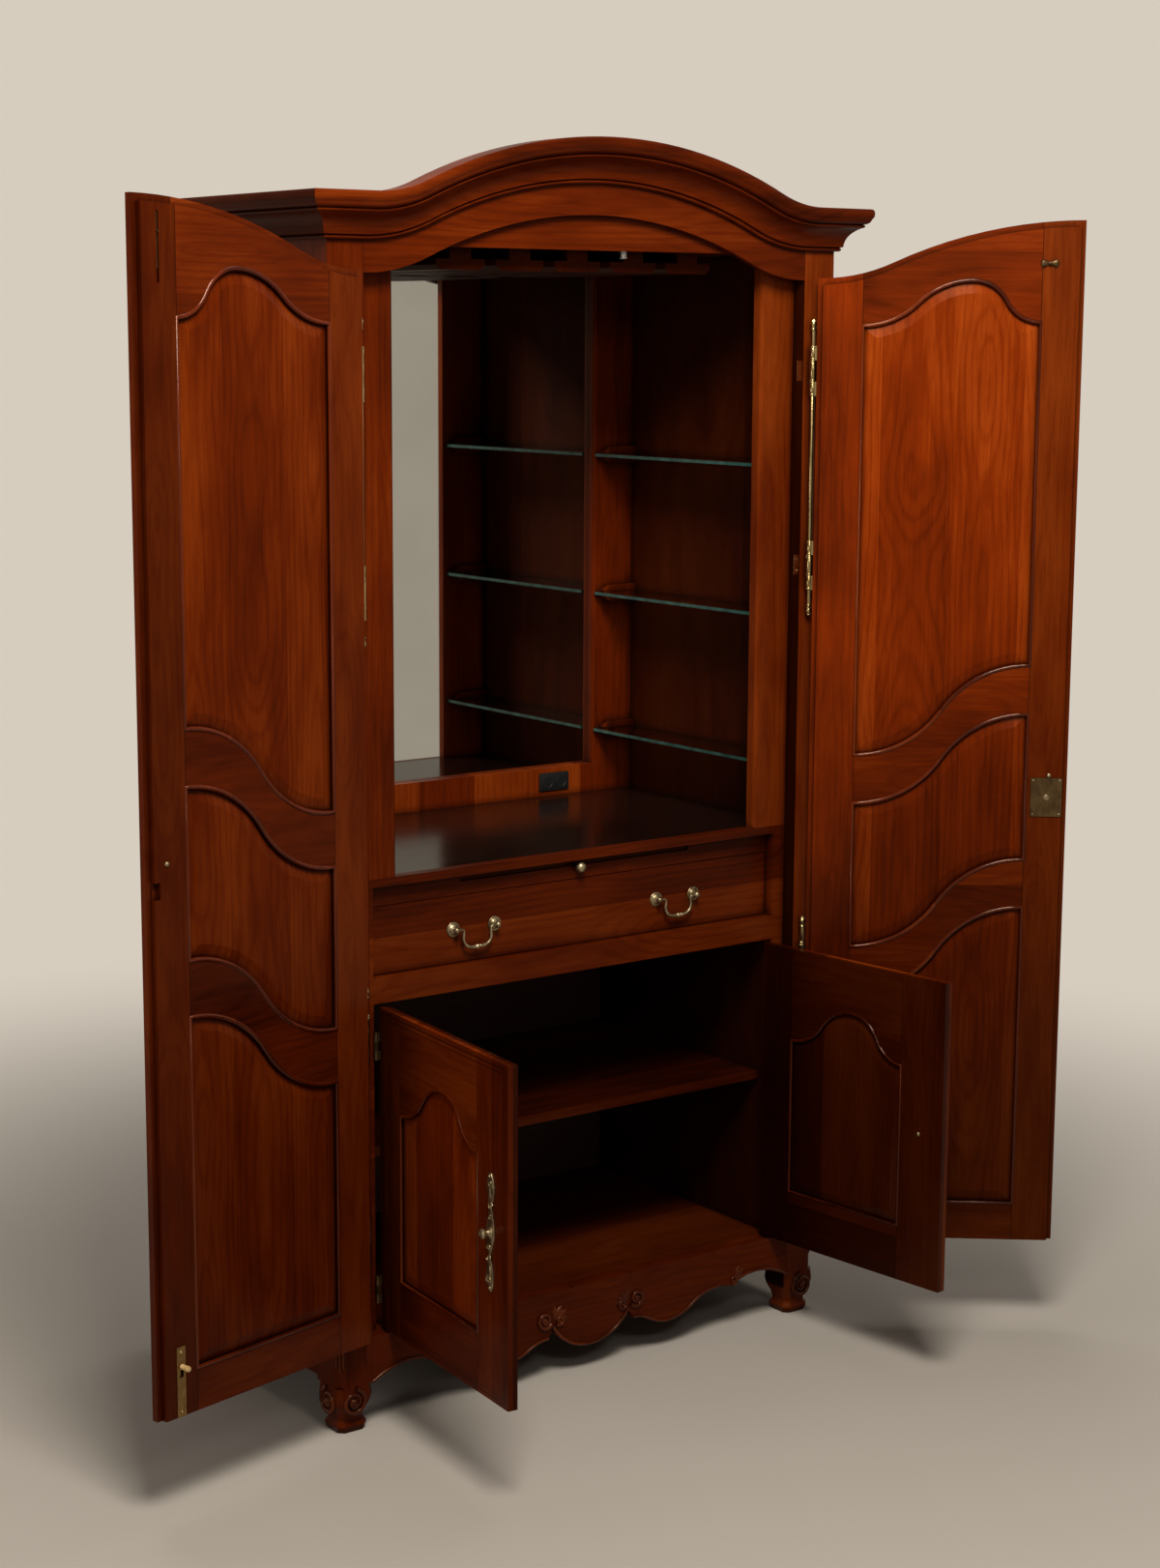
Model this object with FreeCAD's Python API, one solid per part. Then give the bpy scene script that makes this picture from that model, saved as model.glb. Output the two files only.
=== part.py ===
import FreeCAD, Part
import math
import os

V = FreeCAD.Vector

# A tall two-door armoire fitted out as a bar, standing with its doors open.
# Lengths are millimetres and angles are degrees.
# x runs to the right, y runs back from the front face of the posts, z runs up from the floor.
# The export moves the finished pieces so that the origin lies on the floor under the middle of the case.

# Flat sides of turned pieces, hinge parts and bent wire
turning_sides = 8
hinge_sides = 6
wire_sides = 6
wire_chords = 2

# Case
opening_half = 475.0
post_width = 70.0
post_depth = 70.0
post_flange = 30.0
post_cant = 15.0
side_thickness = 22.0
liner_thickness = 20.0
case_depth = 580.0
post_top = 2100.0
roof_thickness = 14.0
back_thickness = 10.0
back_bottom = 100.0

# Scroll feet: height of the shaped part, and half widths of its bulge, waist and pad
foot_height = 84.0
foot_bulge_height = 62.0
foot_bulge_half = 36.5
foot_waist_height = 22.0
foot_waist_half = 25.0
foot_pad_height = 11.0
foot_pad_half = 30.0
foot_sole_half = 27.0
foot_corner = 9.0
foot_steps = 3

# Side frames
side_bottom = 92.0
side_bottom_rail = 110.0
side_middle_rail_height = 960.0
side_middle_rail = 120.0
side_top_rail = 130.0
panel_tongue = 6.0
panel_bevel = 24.0
panel_raise = 6.0
panel_gap = 0.2

# Arch shared by the frieze, the crown moulding and the tops of the tall doors
arch_start = 1985.0
arch_rise = 104.0
arch_turn = 0.27
frieze_height = 126.0
frieze_thickness = 13.0
valance_bottom = 2030.0
ceiling_bottom = 2034.0
ceiling_thickness = 12.0

# Crown moulding: its foot above the arch, and its profile as outward and upward steps
crown_above_arch = 53.0
crown_foot = 8.0
crown_foot_height = 6.0
crown_cove_start = 12.0
crown_cove_bottom = 8.0
crown_cove_end = 36.0
crown_cove_top = 42.0
crown_lip_start = 40.0
crown_cove_sag = 5.0
crown_lip_height = 6.0
crown_nose = 52.0
crown_nose_round = 2.0
crown_chords = 2
crown_nose_bottom = 58.0
crown_height = 76.0

# Apron between the front feet: places of its lobes, cusps and hollows from the middle outwards
board_top = 167.0
board_thickness = 18.0
lobe_low = 49.0
cusp_out = 87.0
cusp_high = 99.0
notch_out = 97.0
notch_high = 79.0
second_lobe_out = 181.0
second_lobe_low = 55.0
shoulder_out = 300.0
shoulder_high = 96.0
leaf_out = 336.0
leaf_low = 91.0
hollow_out = 395.0
hollow_high = 108.0
apron_end_high = 84.0
second_lobe_turn = 0.35
shoulder_turn = 0.5

# Inner carcass
frame_thickness = 22.0
upper_stile_inner = 399.0
upper_stile_bead = 8.0
lower_stile_inner = 448.0
lower_liner_thickness = 12.0
worktop_height = 970.0
worktop_thickness = 15.0
mirror_thickness = 4.0
mirror_half = 420.0
mirror_post_inner = 407.0
mirror_post_thickness = 18.0
mirror_post_bead = 6.0
ledge_height = 57.0
outlet_middle = 309.5
outlet_width = 72.0
outlet_height = 36.0
outlet_thickness = 4.0
shelf_rises = (682.0, 406.0, 129.0)
glass_thickness = 6.0
holder_height = 32.0
holder_depth = 16.0
holder_inner = 425.0
holder_web = 4.0
holder_chamfer = 11.0
holder_slot_clearance = 0.3

# Hanging rack for stemmed glasses and the lamp beside it
rack_bottom = 1994.0
rack_flange = 18.0
rack_rail_width = 100.0
rack_web = 44.0
rack_gap = 23.0
rack_rails = 5
rack_front = 57.0
rack_back = 540.0
rack_chamfer = 8.0
lamp_place = 90.0
lamp_depth = 44.0
lamp_radius = 8.0
lamp_length = 16.0
lamp_rim = 2.0

# Drawer storey, stepped down from the underside of the bar top
drawer_recess = 20.0
strip_thickness = 18.0
strip_height = 37.0
slot_half = 256.0
slot_height = 14.0
drawer_height = 122.0
lower_rail_height = 45.0
dust_board_rise = 5.0
dust_board_thickness = 16.0
drawer_side_gap = 3.0
drawer_face_gap = 1.5
drawer_front_thickness = 20.0
drawer_side_outer = 437.0
drawer_board = 12.0
drawer_length = 430.0
drawer_box_height = 105.0
drawer_floor_thickness = 6.0
drawer_floor_rise = 8.0
runner_gap = 0.3
runner_width = 28.0
runner_overhang = 9.0

# Serving tray above the drawer
tray_gap = 1.5
tray_thickness = 12.0
tray_lift = 0.5
tray_front_recess = 4.0
tray_length = 400.0
guide_wall = 20.0
guide_lip = 12.0
guide_lip_thickness = 12.0
tray_knob_radius = 10.5
tray_knob_neck_radius = 3.0
tray_knob_drop = 9.0
tray_knob_gap = 5.0

# Drawer pulls: hanging bails between two ringed roses
pull_middle = 226.0
pull_spread = 88.0
rose_radius = 13.0
rose_thickness = 4.0
rose_ring = 2.0
rose_stem_radius = 4.0
bail_stand_off = 12.0
bail_ball_radius = 6.0
ball_steps = 3
bail_wire = 2.6
bail_fit = 0.05
bail_end_play = 0.4
bail_neck = 5.0
bail_elbow = 4.5
bail_drop = 34.0
bail_curve = 20.0
bail_knop_radius = 5.0
bail_knop_half = 6.5

# Lower compartment
shelf_height = 484.0
shelf_thickness = 15.0
shelf_front = 62.0
shelf_back_gap = 8.0
pin_radius = 3.0
pin_length = 10.0
pin_inset = 60.0
pin_gap = 0.05

# Tall doors, drawn closed and then swung open about their rods
left_angle = 167.0
right_angle = 140.5
rod_out = 489.0
rod_forward = 10.8
lip_thickness = 12.0
door_thickness = 22.0
door_face_gap = 0.5
door_bottom = 172.0
door_middle_gap = 1.0
lip_hinge_gap = 7.0
rabbet_side = 9.0
rabbet_middle = 10.0
lip_overlap = 4.0
rabbet_top_gap = 8.0
stile_hinge = 89.0
stile_free = 411.0
top_panel_hinge = 1904.0
top_panel_peak = 1986.0
top_panel_peak_out = 288.0
top_panel_free = 1911.0
top_panel_foot = 1111.0
middle_panel_top = 1020.0
middle_panel_foot = 744.0
bottom_panel_top = 653.0
bottom_panel_foot = 244.0
swept_rail_rise = 172.0
rail_turn = 0.5

# Rod hinges of the tall doors
rod_radius = 3.0
rod_fit = 0.05
knuckle_radius = 6.5
knuckle_gap = 0.4
case_knuckle = 38.0
door_knuckle = 26.0
rod_length = 544.0
rod_middles = (1643.0, 525.0)
rod_group_spread = 357.0
finial_radius = 5.5
finial_neck = 2.6
finial_length = 20.0
hinge_leaf = 2.4
hinge_leaf_reach = 22.0

# Bolts in the left tall door and lock in the right one
bolt_out = 446.0
bolt_radius = 3.5
bolt_fit = 0.08
bolt_length = 96.0
bolt_tip_gap = 1.0
bolt_travel = 14.0
strike_gap = 0.5
strike_depth = 20.0
bolt_plate_width = 18.0
bolt_plate_height = 118.0
bolt_plate_thickness = 1.5
bolt_knob_radius = 4.0
bolt_knob_stand = 20.0
bolt_knob_gap = 0.5
bolt_knob_place = 85.0
bolt_slot_end = bolt_knob_place + bolt_knob_radius + bolt_knob_gap
bolt_slot_start = bolt_slot_end - bolt_travel - 2 * (bolt_knob_radius + bolt_knob_gap)
lever_radius = 1.5
lever_stand = 2.5
lever_place = 42.0
lever_slot_start = 12.0
lever_slot_end = 118.0
lock_out = 449.0
lock_middle = 1036.0
lock_width = 58.0
lock_height = 73.0
lock_plate_thickness = 2.0
lock_case_width = 44.0
lock_case_height = 56.0
lock_case_depth = 8.0
lock_bolt_height = 24.0
lock_bolt_thickness = 5.0
lock_bolt_length = 36.0
lock_bolt_fit = 0.3
lock_bolt_travel = 10.0
keeper_gap = 1.5

# Small doors of the lower compartment
small_left_angle = 95.2
small_right_angle = 96.5
barrel_out = 446.25
barrel_depth = 26.0
barrel_radius = 3.8
barrel_pin = 1.8
barrel_knuckle = 16.0
barrel_inset = 69.0
leaf_thickness = 1.5
leaf_depth = 22.0
small_door_face = 32.0
small_door_thickness = 18.0
small_door_edge = 1.75
small_door_gap = 4.0
small_stile_hinge = 75.0
small_stile_free = 345.0
small_panel_foot_rise = 103.0
small_panel_hinge_drop = 175.0
small_panel_peak_drop = 96.0
small_panel_peak_out = 226.0
small_panel_free_drop = 170.0
small_panel_bevel = 20.0
small_panel_raise = 4.0
small_panel_tongue = 6.0

# Knobs with scrolled back plates on the doors
small_pull_out = 390.0
small_pull_height = 458.0
tall_pull_out = 453.0
tall_pull_height = 1077.0
plate_height = 204.0
plate_width = 26.0
plate_thickness = 2.5
plate_waist = 9.0
knob_radius = 8.5
knob_neck_radius = 3.5
knob_length = 17.0
knob_flare = 2.0

# Places that follow from the sizes above
post_outer = opening_half + post_width
side_inner = post_outer - side_thickness
wall_half = side_inner - liner_thickness
back_front = case_depth - back_thickness
frame_front = post_flange
frame_back = frame_front + frame_thickness
drawer_face = frame_front + drawer_recess
door_outer = -door_face_gap - lip_thickness
lip_back = -door_face_gap
door_inner = door_outer + door_thickness
worktop_bottom = worktop_height - worktop_thickness
shelf_tops = [worktop_height + rise for rise in shelf_rises]
strip_bottom = worktop_bottom - strip_height
slot_bottom = worktop_bottom - slot_height
drawer_bottom = strip_bottom - drawer_height
lower_rail_bottom = drawer_bottom - lower_rail_height
dust_board_bottom = lower_rail_bottom + dust_board_rise
small_door_bottom = board_top + small_door_gap
small_door_top = lower_rail_bottom - small_door_gap
barrel_heights = (small_door_bottom + barrel_inset, small_door_top - barrel_inset)
board_bottom = board_top - board_thickness
mirror_post_back = back_front - mirror_thickness
mirror_post_front = mirror_post_back - mirror_post_thickness
crown_bottom = arch_start + crown_above_arch
far = 4000.0


def box(x0, x1, y0, y1, z0, z1):
    return Part.makeBox(x1 - x0, y1 - y0, z1 - z0, V(x0, y0, z0))


def mirrored(shape):
    return shape.mirror(V(0, 0, 0), V(1, 0, 0))


def both(shape):
    return [shape, mirrored(shape)]


def point(x, z):
    return V(x, 0, z)


def line(a, b):
    return Part.LineSegment(a, b).toShape()


def arc(a, via, b):
    return Part.Arc(a, via, b).toShape()


def level_arc(level, other):
    # Arc that runs level at its first end and passes through the other end
    dx = other.x - level.x
    dz = other.z - level.z
    half_turn = math.atan2(abs(dz), abs(dx))
    radius = (dx * dx + dz * dz) / (2 * abs(dz))
    along = math.copysign(radius * math.sin(half_turn), dx)
    rise = math.copysign(radius * (1 - math.cos(half_turn)), dz)
    return arc(level, point(level.x + along, level.z + rise), other)


def ogee(start, end, turn):
    # Two tangent arcs, level at both ends, that change over at the given share of the chord
    change = start + (end - start) * turn
    return [level_arc(start, change), level_arc(end, change)]


def face_of(edges):
    return Part.Face(Part.Wire(Part.__sortEdges__(edges)))


def slab(face, y0, y1):
    moved = face.translated(V(0, y0, 0))
    return moved.extrude(V(0, y1 - y0, 0))


def grown(face, distance):
    return face.makeOffset2D(distance, 2, False, False, True)


def bevelled(face, inset, y0, y1):
    # Solid whose outline shrinks by the inset from depth y0 to depth y1
    base = face.OuterWire.translated(V(0, y0, 0))
    crest = grown(face, -inset).OuterWire.translated(V(0, y1, 0))
    return Part.makeLoft([base, crest], True, True)


def raised_panel(face, y_middle, tongue, bevel, height):
    # Board bevelled on both faces, with a clearance to its opening
    front = y_middle - tongue / 2 - height
    back = y_middle + tongue / 2 + height
    board = slab(grown(face, -panel_gap), front, back)
    rims = [e for e in board.Edges if e.BoundBox.YLength < 0.01]
    return board.makeChamfer(height, bevel, rims)


def cut_for_panel(frame, face, y_front, y_back):
    return frame.cut(slab(face, y_front - 1, y_back + 1))


def turned(profile, place, direction, sides):
    # Turning with flat sides: rings of (radius, height) joined by planes and closed by end caps
    frame = FreeCAD.Placement(place, FreeCAD.Rotation(V(0, 0, 1), direction))
    rings = []
    for radius, height in profile:
        turns = [2 * math.pi * i / sides for i in range(sides)]
        ring = [V(radius * math.cos(a), radius * math.sin(a), height) for a in turns]
        rings.append([frame.multVec(corner) for corner in ring])
    faces = [Part.Face(Part.makePolygon(ring + ring[:1])) for ring in (rings[0], rings[-1])]
    for low, high in zip(rings, rings[1:]):
        for i in range(sides):
            j = (i + 1) % sides
            faces.append(Part.Face(Part.makePolygon([low[i], low[j], high[j], high[i], low[i]])))
    shell = Part.makeShell(faces)
    shell.sewShape()
    solid = Part.makeSolid(shell)
    solid.fixTolerance(1e-6)
    return solid if solid.Volume > 0 else solid.reversed()


def round_bar(radius, low, high, place, direction, sides):
    return turned([(radius, low), (radius, high)], place, direction, sides)


def bore_radius(radius, sides):
    # Corner radius of a flat-sided hole that clears a round of the given radius
    return radius / math.cos(math.pi / sides)


def below_arch(lift, y0, y1):
    # Everything below the arch curve, raised by the lift, between two depths
    low = arch_start + lift
    left = point(-opening_half, low)
    right = point(opening_half, low)
    peak = point(0, low + arch_rise)
    outer_left = point(-post_outer, low)
    outer_right = point(post_outer, low)
    edges = ogee(left, peak, arch_turn) + ogee(right, peak, arch_turn)
    edges += [line(outer_left, left), line(right, outer_right)]
    edges += [line(outer_left, point(-post_outer, 0)), line(outer_right, point(post_outer, 0))]
    edges.append(line(point(-post_outer, 0), point(post_outer, 0)))
    return slab(face_of(edges), y0, y1)


def chamfered_square(half, corner, z):
    near = half - corner
    corners = [V(-near, -half, z), V(near, -half, z), V(half, -near, z), V(half, near, z),
               V(near, half, z), V(-near, half, z), V(-half, near, z), V(-half, -near, z)]
    return Part.makePolygon(corners + corners[:1])


def scroll_foot():
    # Foot of a front post about its own middle: bulge, waist and pad, eased into each other
    levels = [(0.0, foot_sole_half), (foot_pad_height, foot_pad_half), (foot_waist_height, foot_waist_half),
              (foot_bulge_height, foot_bulge_half), (foot_height, post_width / 2)]
    sections = [levels[0]]
    for (low, near), (high, wide) in zip(levels, levels[1:]):
        for step in range(1, foot_steps + 1):
            share = step / foot_steps
            ease = (1 - math.cos(math.pi * share)) / 2
            sections.append((low + (high - low) * share, near + (wide - near) * ease))
    wires = [chamfered_square(size, foot_corner, z) for z, size in sections]
    return Part.makeLoft(wires, True, True)


def front_post():
    corners = [V(opening_half, 0, 0), V(post_outer - post_cant, 0, 0), V(post_outer, post_cant, 0),
               V(post_outer, post_depth, 0), V(side_inner, post_depth, 0), V(side_inner, post_flange, 0),
               V(opening_half, post_flange, 0)]
    edges = [line(a, b) for a, b in zip(corners, corners[1:] + corners[:1])]
    shaft = face_of(edges).translated(V(0, 0, foot_height)).extrude(V(0, 0, post_top - foot_height))
    head = box(post_outer - post_cant, post_outer, 0, post_cant, arch_start, post_top)
    foot = scroll_foot().translated(V(opening_half + post_width / 2, post_depth / 2, 0))
    post = shaft.fuse([head, foot]).removeSplitter()
    return post.cut(case_leaves(1))


def rear_posts():
    return both(box(side_inner, post_outer, case_depth - post_depth, case_depth, 0, post_top))


def side_panel_faces():
    front = post_depth
    back = case_depth - post_depth
    low = side_bottom + side_bottom_rail
    middle = side_middle_rail_height
    high = post_top - side_top_rail
    spans = [(low, middle), (middle + side_middle_rail, high)]
    faces = []
    for z0, z1 in spans:
        plane = Part.makePlane(back - front, z1 - z0, V(front, 0, z0), V(0, -1, 0), V(1, 0, 0))
        faces.append(Part.Face(plane.OuterWire))
    return faces


def side_frame():
    # Drawn in the plane of a door and then turned to face outwards
    front = post_depth
    back = case_depth - post_depth
    frame = box(front, back, -side_thickness, 0, side_bottom, post_top)
    pieces = []
    for face in side_panel_faces():
        frame = cut_for_panel(frame, face, -side_thickness, 0)
    pieces += frame.Solids
    for face in side_panel_faces():
        board = bevelled(face, panel_bevel, -side_thickness + panel_tongue, -side_thickness)
        rear = slab(face, -side_thickness + panel_tongue, -panel_raise)
        pieces.append(board.fuse(rear).removeSplitter())
    placed = []
    for piece in pieces:
        shape = piece.rotated(V(0, 0, 0), V(0, 0, 1), 90)
        placed.append(shape.translated(V(side_inner, 0, 0)))
    return placed


def frieze_board():
    board = below_arch(frieze_height, 0, frieze_thickness)
    board = board.common(box(-opening_half, opening_half, 0, frieze_thickness, arch_start, far))
    board = board.cut(below_arch(0, -1, frieze_thickness + 1))
    return board.cut(bolt_strike(arch_start, arch_start + arch_rise + strike_depth))


def crown_profile():
    # Points are (outward, upward): foot, cove, lip and rounded nose, with curves as chords of arcs
    def out(a, b):
        return V(a, 0, b)
    lip = crown_cove_top + crown_lip_height
    lower = [out(0, 0), out(crown_foot, 0), out(crown_foot, crown_foot_height),
             out(crown_cove_start, crown_cove_bottom)]
    upper = [out(crown_cove_end, crown_cove_top), out(crown_cove_end, lip), out(crown_lip_start, lip),
             out(crown_nose - crown_nose_round, crown_nose_bottom)]
    cove_via = out(crown_cove_start + crown_cove_sag, (crown_cove_bottom + 2 * crown_cove_top) / 3)
    cove = arc(lower[-1], cove_via, upper[0]).discretize(crown_chords + 1)
    nose_via = out(crown_nose + crown_nose_round / 2, (crown_nose_bottom + crown_height) / 2)
    nose_top = out(crown_nose - crown_nose_round, crown_height)
    nose = arc(upper[-1], nose_via, nose_top).discretize(crown_chords + 1)
    corners = lower + cove[1:-1] + upper + nose[1:] + [out(0, crown_height)]
    return face_of([line(a, b) for a, b in zip(corners, corners[1:] + corners[:1])])


def mitre(corners):
    edges = [line(V(x, y, 0), V(u, v, 0)) for (x, y), (u, v) in zip(corners, corners[1:] + corners[:1])]
    return face_of(edges).extrude(V(0, 0, far))


def crown_front():
    reach = post_outer + 2 * crown_nose
    low = crown_bottom
    left = point(-opening_half, low)
    right = point(opening_half, low)
    peak = point(0, low + arch_rise)
    climb = ogee(left, peak, arch_turn)
    fall = ogee(right, peak, arch_turn)
    path = [line(point(-reach, low), left)] + climb + fall + [line(right, point(reach, low))]
    profile = crown_profile().rotated(V(0, 0, 0), V(0, 0, 1), -90).translated(V(-reach, 0, low))
    spine = Part.Wire(Part.__sortEdges__(path))
    swept = spine.makePipeShell([profile.OuterWire], True, False)
    wedge = mitre([(post_outer, 0), (reach, post_outer - reach), (far, post_outer - reach), (far, 0)])
    return swept.cut([wedge, mirrored(wedge)])


def crown_return():
    reach = 2 * crown_nose
    profile = crown_profile().translated(V(post_outer, -reach, crown_bottom))
    moulding = profile.extrude(V(0, case_depth + reach, 0))
    wedge = mitre([(post_outer, 0), (post_outer + reach, -reach), (post_outer, -reach)])
    return moulding.cut(wedge)


def roof_board():
    return box(-post_outer, post_outer, frieze_thickness, case_depth, post_top, post_top + roof_thickness)


def apron():
    lobe = point(0, lobe_low)
    end = point(opening_half, apron_end_high)
    half = [level_arc(lobe, point(cusp_out, cusp_high)),
            line(point(cusp_out, cusp_high), point(notch_out, notch_high))]
    half += ogee(point(notch_out, notch_high), point(second_lobe_out, second_lobe_low), second_lobe_turn)
    half += ogee(point(second_lobe_out, second_lobe_low), point(shoulder_out, shoulder_high), shoulder_turn)
    half.append(line(point(shoulder_out, shoulder_high), point(leaf_out, leaf_low)))
    half.append(level_arc(point(hollow_out, hollow_high), point(leaf_out, leaf_low)))
    half.append(level_arc(point(hollow_out, hollow_high), end))
    half.append(line(end, point(opening_half, board_top)))
    half.append(line(point(opening_half, board_top), point(0, board_top)))
    right = slab(face_of(half + [line(point(0, board_top), lobe)]), 0, post_flange)
    board = right.fuse(mirrored(right)).removeSplitter()
    return board.cut(bolt_strike(board_top - strike_depth, board_top + 1))


def inner_side():
    return box(wall_half, side_inner, frame_front, back_front, board_bottom, post_top)


def upper_stiles():
    stile = box(upper_stile_inner, wall_half, frame_front, frame_back, worktop_height, ceiling_bottom)
    arris = [e for e in stile.Edges if abs(e.CenterOfMass.x - upper_stile_inner) < 0.01
             and abs(e.CenterOfMass.y - frame_front) < 0.01]
    return both(stile.makeFillet(upper_stile_bead, arris))


def ceiling_board():
    top = ceiling_bottom + ceiling_thickness
    return box(-wall_half, wall_half, frame_front, back_front, ceiling_bottom, top)


def valance():
    return box(-opening_half, opening_half, frieze_thickness, frame_front, valance_bottom, post_top)


def rack_rail(place):
    half = rack_rail_width / 2
    flange_top = rack_bottom + rack_flange
    flange = box(place - half, place + half, rack_front, rack_back, rack_bottom, flange_top)
    lower = [e for e in flange.Edges if abs(e.CenterOfMass.z - rack_bottom) < 0.01
             and abs(e.CenterOfMass.x - place) > half - 0.01]
    flange = flange.makeChamfer(rack_chamfer, lower)
    web = box(place - rack_web / 2, place + rack_web / 2, rack_front, rack_back, flange_top, ceiling_bottom)
    return flange.fuse(web).removeSplitter()


def stemware_rack():
    pitch = rack_rail_width + rack_gap
    first = -pitch * (rack_rails - 1) / 2
    return [rack_rail(first + pitch * i) for i in range(rack_rails)]


def interior_lamp():
    profile = [(lamp_radius - lamp_rim, 0), (lamp_radius, lamp_rim), (lamp_radius, lamp_length)]
    place = V(lamp_place, lamp_depth, ceiling_bottom - lamp_length)
    return turned(profile, place, V(0, 0, 1), turning_sides)


def mirror_plate():
    low = worktop_height + ledge_height
    return box(-mirror_half, mirror_half, mirror_post_back, back_front, low, ceiling_bottom)


def mirror_frame():
    post = box(mirror_post_inner, wall_half, mirror_post_front, mirror_post_back, worktop_height, ceiling_bottom)
    arris = [e for e in post.Edges if abs(e.CenterOfMass.x - mirror_post_inner) < 0.01
             and abs(e.CenterOfMass.y - mirror_post_front) < 0.01]
    post = post.makeFillet(mirror_post_bead, arris)
    top = worktop_height + ledge_height
    ledge = box(-mirror_post_inner, mirror_post_inner, mirror_post_front, back_front, worktop_height, top)
    return both(post) + [ledge]


def power_outlet():
    left = outlet_middle - outlet_width / 2
    low = worktop_height + (ledge_height - outlet_height) / 2
    front = mirror_post_front - outlet_thickness
    plate = box(left, left + outlet_width, front, mirror_post_front, low, low + outlet_height)
    rim = [e for e in plate.Edges if abs(e.CenterOfMass.y - front) < 0.01]
    return plate.makeChamfer(1.5, rim)


def glass_shelves():
    pieces = []
    front = frame_back + holder_web
    back = mirror_post_front - holder_web
    for top in shelf_tops:
        pieces += both(box(mirror_post_inner, wall_half, front, back, top - glass_thickness, top))
    return pieces


def holder(top):
    # Chamfered block behind the front stile, with a slot that takes the end of a glass shelf
    middle = top - glass_thickness / 2
    half = holder_height / 2
    nose = holder_inner + holder_chamfer
    tip = half - holder_chamfer
    corners = [point(holder_inner, middle - tip), point(nose, middle - half), point(wall_half, middle - half),
               point(wall_half, middle + half), point(nose, middle + half), point(holder_inner, middle + tip)]
    edges = [line(a, b) for a, b in zip(corners, corners[1:] + corners[:1])]
    block = slab(face_of(edges), frame_back, frame_back + holder_depth)
    slot_front = frame_back + holder_web
    slot = box(0, wall_half, slot_front, far, top - glass_thickness, top + holder_slot_clearance)
    return block.cut(slot)


def shelf_holders():
    mid_depth = (frame_back + mirror_post_front) / 2
    pieces = []
    for top in shelf_tops:
        front = holder(top)
        rear = front.mirror(V(0, mid_depth, 0), V(0, 1, 0))
        pieces += both(front) + both(rear)
    return pieces


def work_surface():
    return box(-wall_half, wall_half, frame_back, back_front, worktop_bottom, worktop_height)


def drawer_frame():
    rail = box(-wall_half, wall_half, frame_front, frame_back, worktop_bottom, worktop_height)
    stile = box(lower_stile_inner, wall_half, frame_front, frame_back, board_top, worktop_bottom)
    lower = box(-lower_stile_inner, lower_stile_inner, frame_front, frame_back, lower_rail_bottom, drawer_bottom)
    strip_back = drawer_face + strip_thickness
    strip = box(-lower_stile_inner, lower_stile_inner, drawer_face, strip_back, strip_bottom, worktop_bottom)
    strip = strip.cut(box(-slot_half, slot_half, 0, case_depth, slot_bottom, worktop_bottom))
    return [rail, lower, strip] + both(stile)


def dust_board():
    top = dust_board_bottom + dust_board_thickness
    return box(-wall_half, wall_half, frame_back, back_front, dust_board_bottom, top)


def drawer_runners():
    inner = drawer_side_outer - drawer_board - runner_overhang
    low = dust_board_bottom + dust_board_thickness
    front = drawer_face + drawer_front_thickness + drawer_face_gap
    return both(box(inner, inner + runner_width, front, back_front, low, runner_top()))


def runner_top():
    return drawer_bottom + drawer_face_gap + drawer_floor_rise / 2


def tray_guides():
    front = drawer_face + strip_thickness
    foot = slot_bottom - guide_lip_thickness
    wall = box(slot_half, slot_half + guide_wall, front, back_front, foot, worktop_bottom)
    lip = box(slot_half - guide_lip, slot_half, front, back_front, foot, slot_bottom)
    return both(wall.fuse(lip).removeSplitter())


def lower_liners():
    outer = lower_stile_inner + lower_liner_thickness
    return both(box(lower_stile_inner, outer, frame_back, back_front, board_top, dust_board_bottom))


def lower_shelf():
    back = back_front - shelf_back_gap
    low = shelf_height - shelf_thickness
    return box(-lower_stile_inner, lower_stile_inner, shelf_front, back, low, shelf_height)


def shelf_pins():
    height = shelf_height - shelf_thickness - pin_radius - pin_gap
    pieces = []
    for y in (shelf_front + pin_inset, back_front - shelf_back_gap - pin_inset):
        place = V(lower_stile_inner - pin_length, y, height)
        pieces += both(round_bar(pin_radius, 0, pin_length, place, V(1, 0, 0), hinge_sides))
    return pieces


def bottom_board():
    return box(-wall_half, wall_half, frame_front, back_front, board_bottom, board_top)


def knuckle_spans():
    # Heights of the case knuckles and of the door knuckles above and below each
    case_spans = []
    door_spans = []
    for middle in rod_middles:
        for side in (-1, 1):
            centre = middle + side * rod_group_spread / 2
            half = case_knuckle / 2
            case_spans.append((centre - half, centre + half))
            door_spans.append((centre + half + knuckle_gap, centre + half + knuckle_gap + door_knuckle))
            door_spans.append((centre - half - knuckle_gap - door_knuckle, centre - half - knuckle_gap))
    return case_spans, door_spans


def case_knuckle_tube(side, low, high):
    place = V(side * rod_out, -rod_forward, 0)
    up = V(0, 0, 1)
    tube = round_bar(knuckle_radius, low, high, place, up, hinge_sides)
    hole = bore_radius(rod_radius + rod_fit, hinge_sides)
    return tube.cut(round_bar(hole, low - 1, high + 1, place, up, hinge_sides))


def case_leaf_plate(side, low, high):
    middle = side * rod_out
    front = -rod_forward + (rod_radius + knuckle_radius) / 2
    return box(middle - hinge_leaf / 2, middle + hinge_leaf / 2, front, hinge_leaf_reach, low, high)


def case_leaves(side):
    spans = knuckle_spans()[0]
    return [case_leaf_plate(side, low, high) for low, high in spans]


def post_hinges():
    pieces = []
    for side in (-1, 1):
        for low, high in knuckle_spans()[0]:
            leaf = case_knuckle_tube(side, low, high).fuse(case_leaf_plate(side, low, high))
            pieces.append(leaf.removeSplitter())
    return pieces


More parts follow.
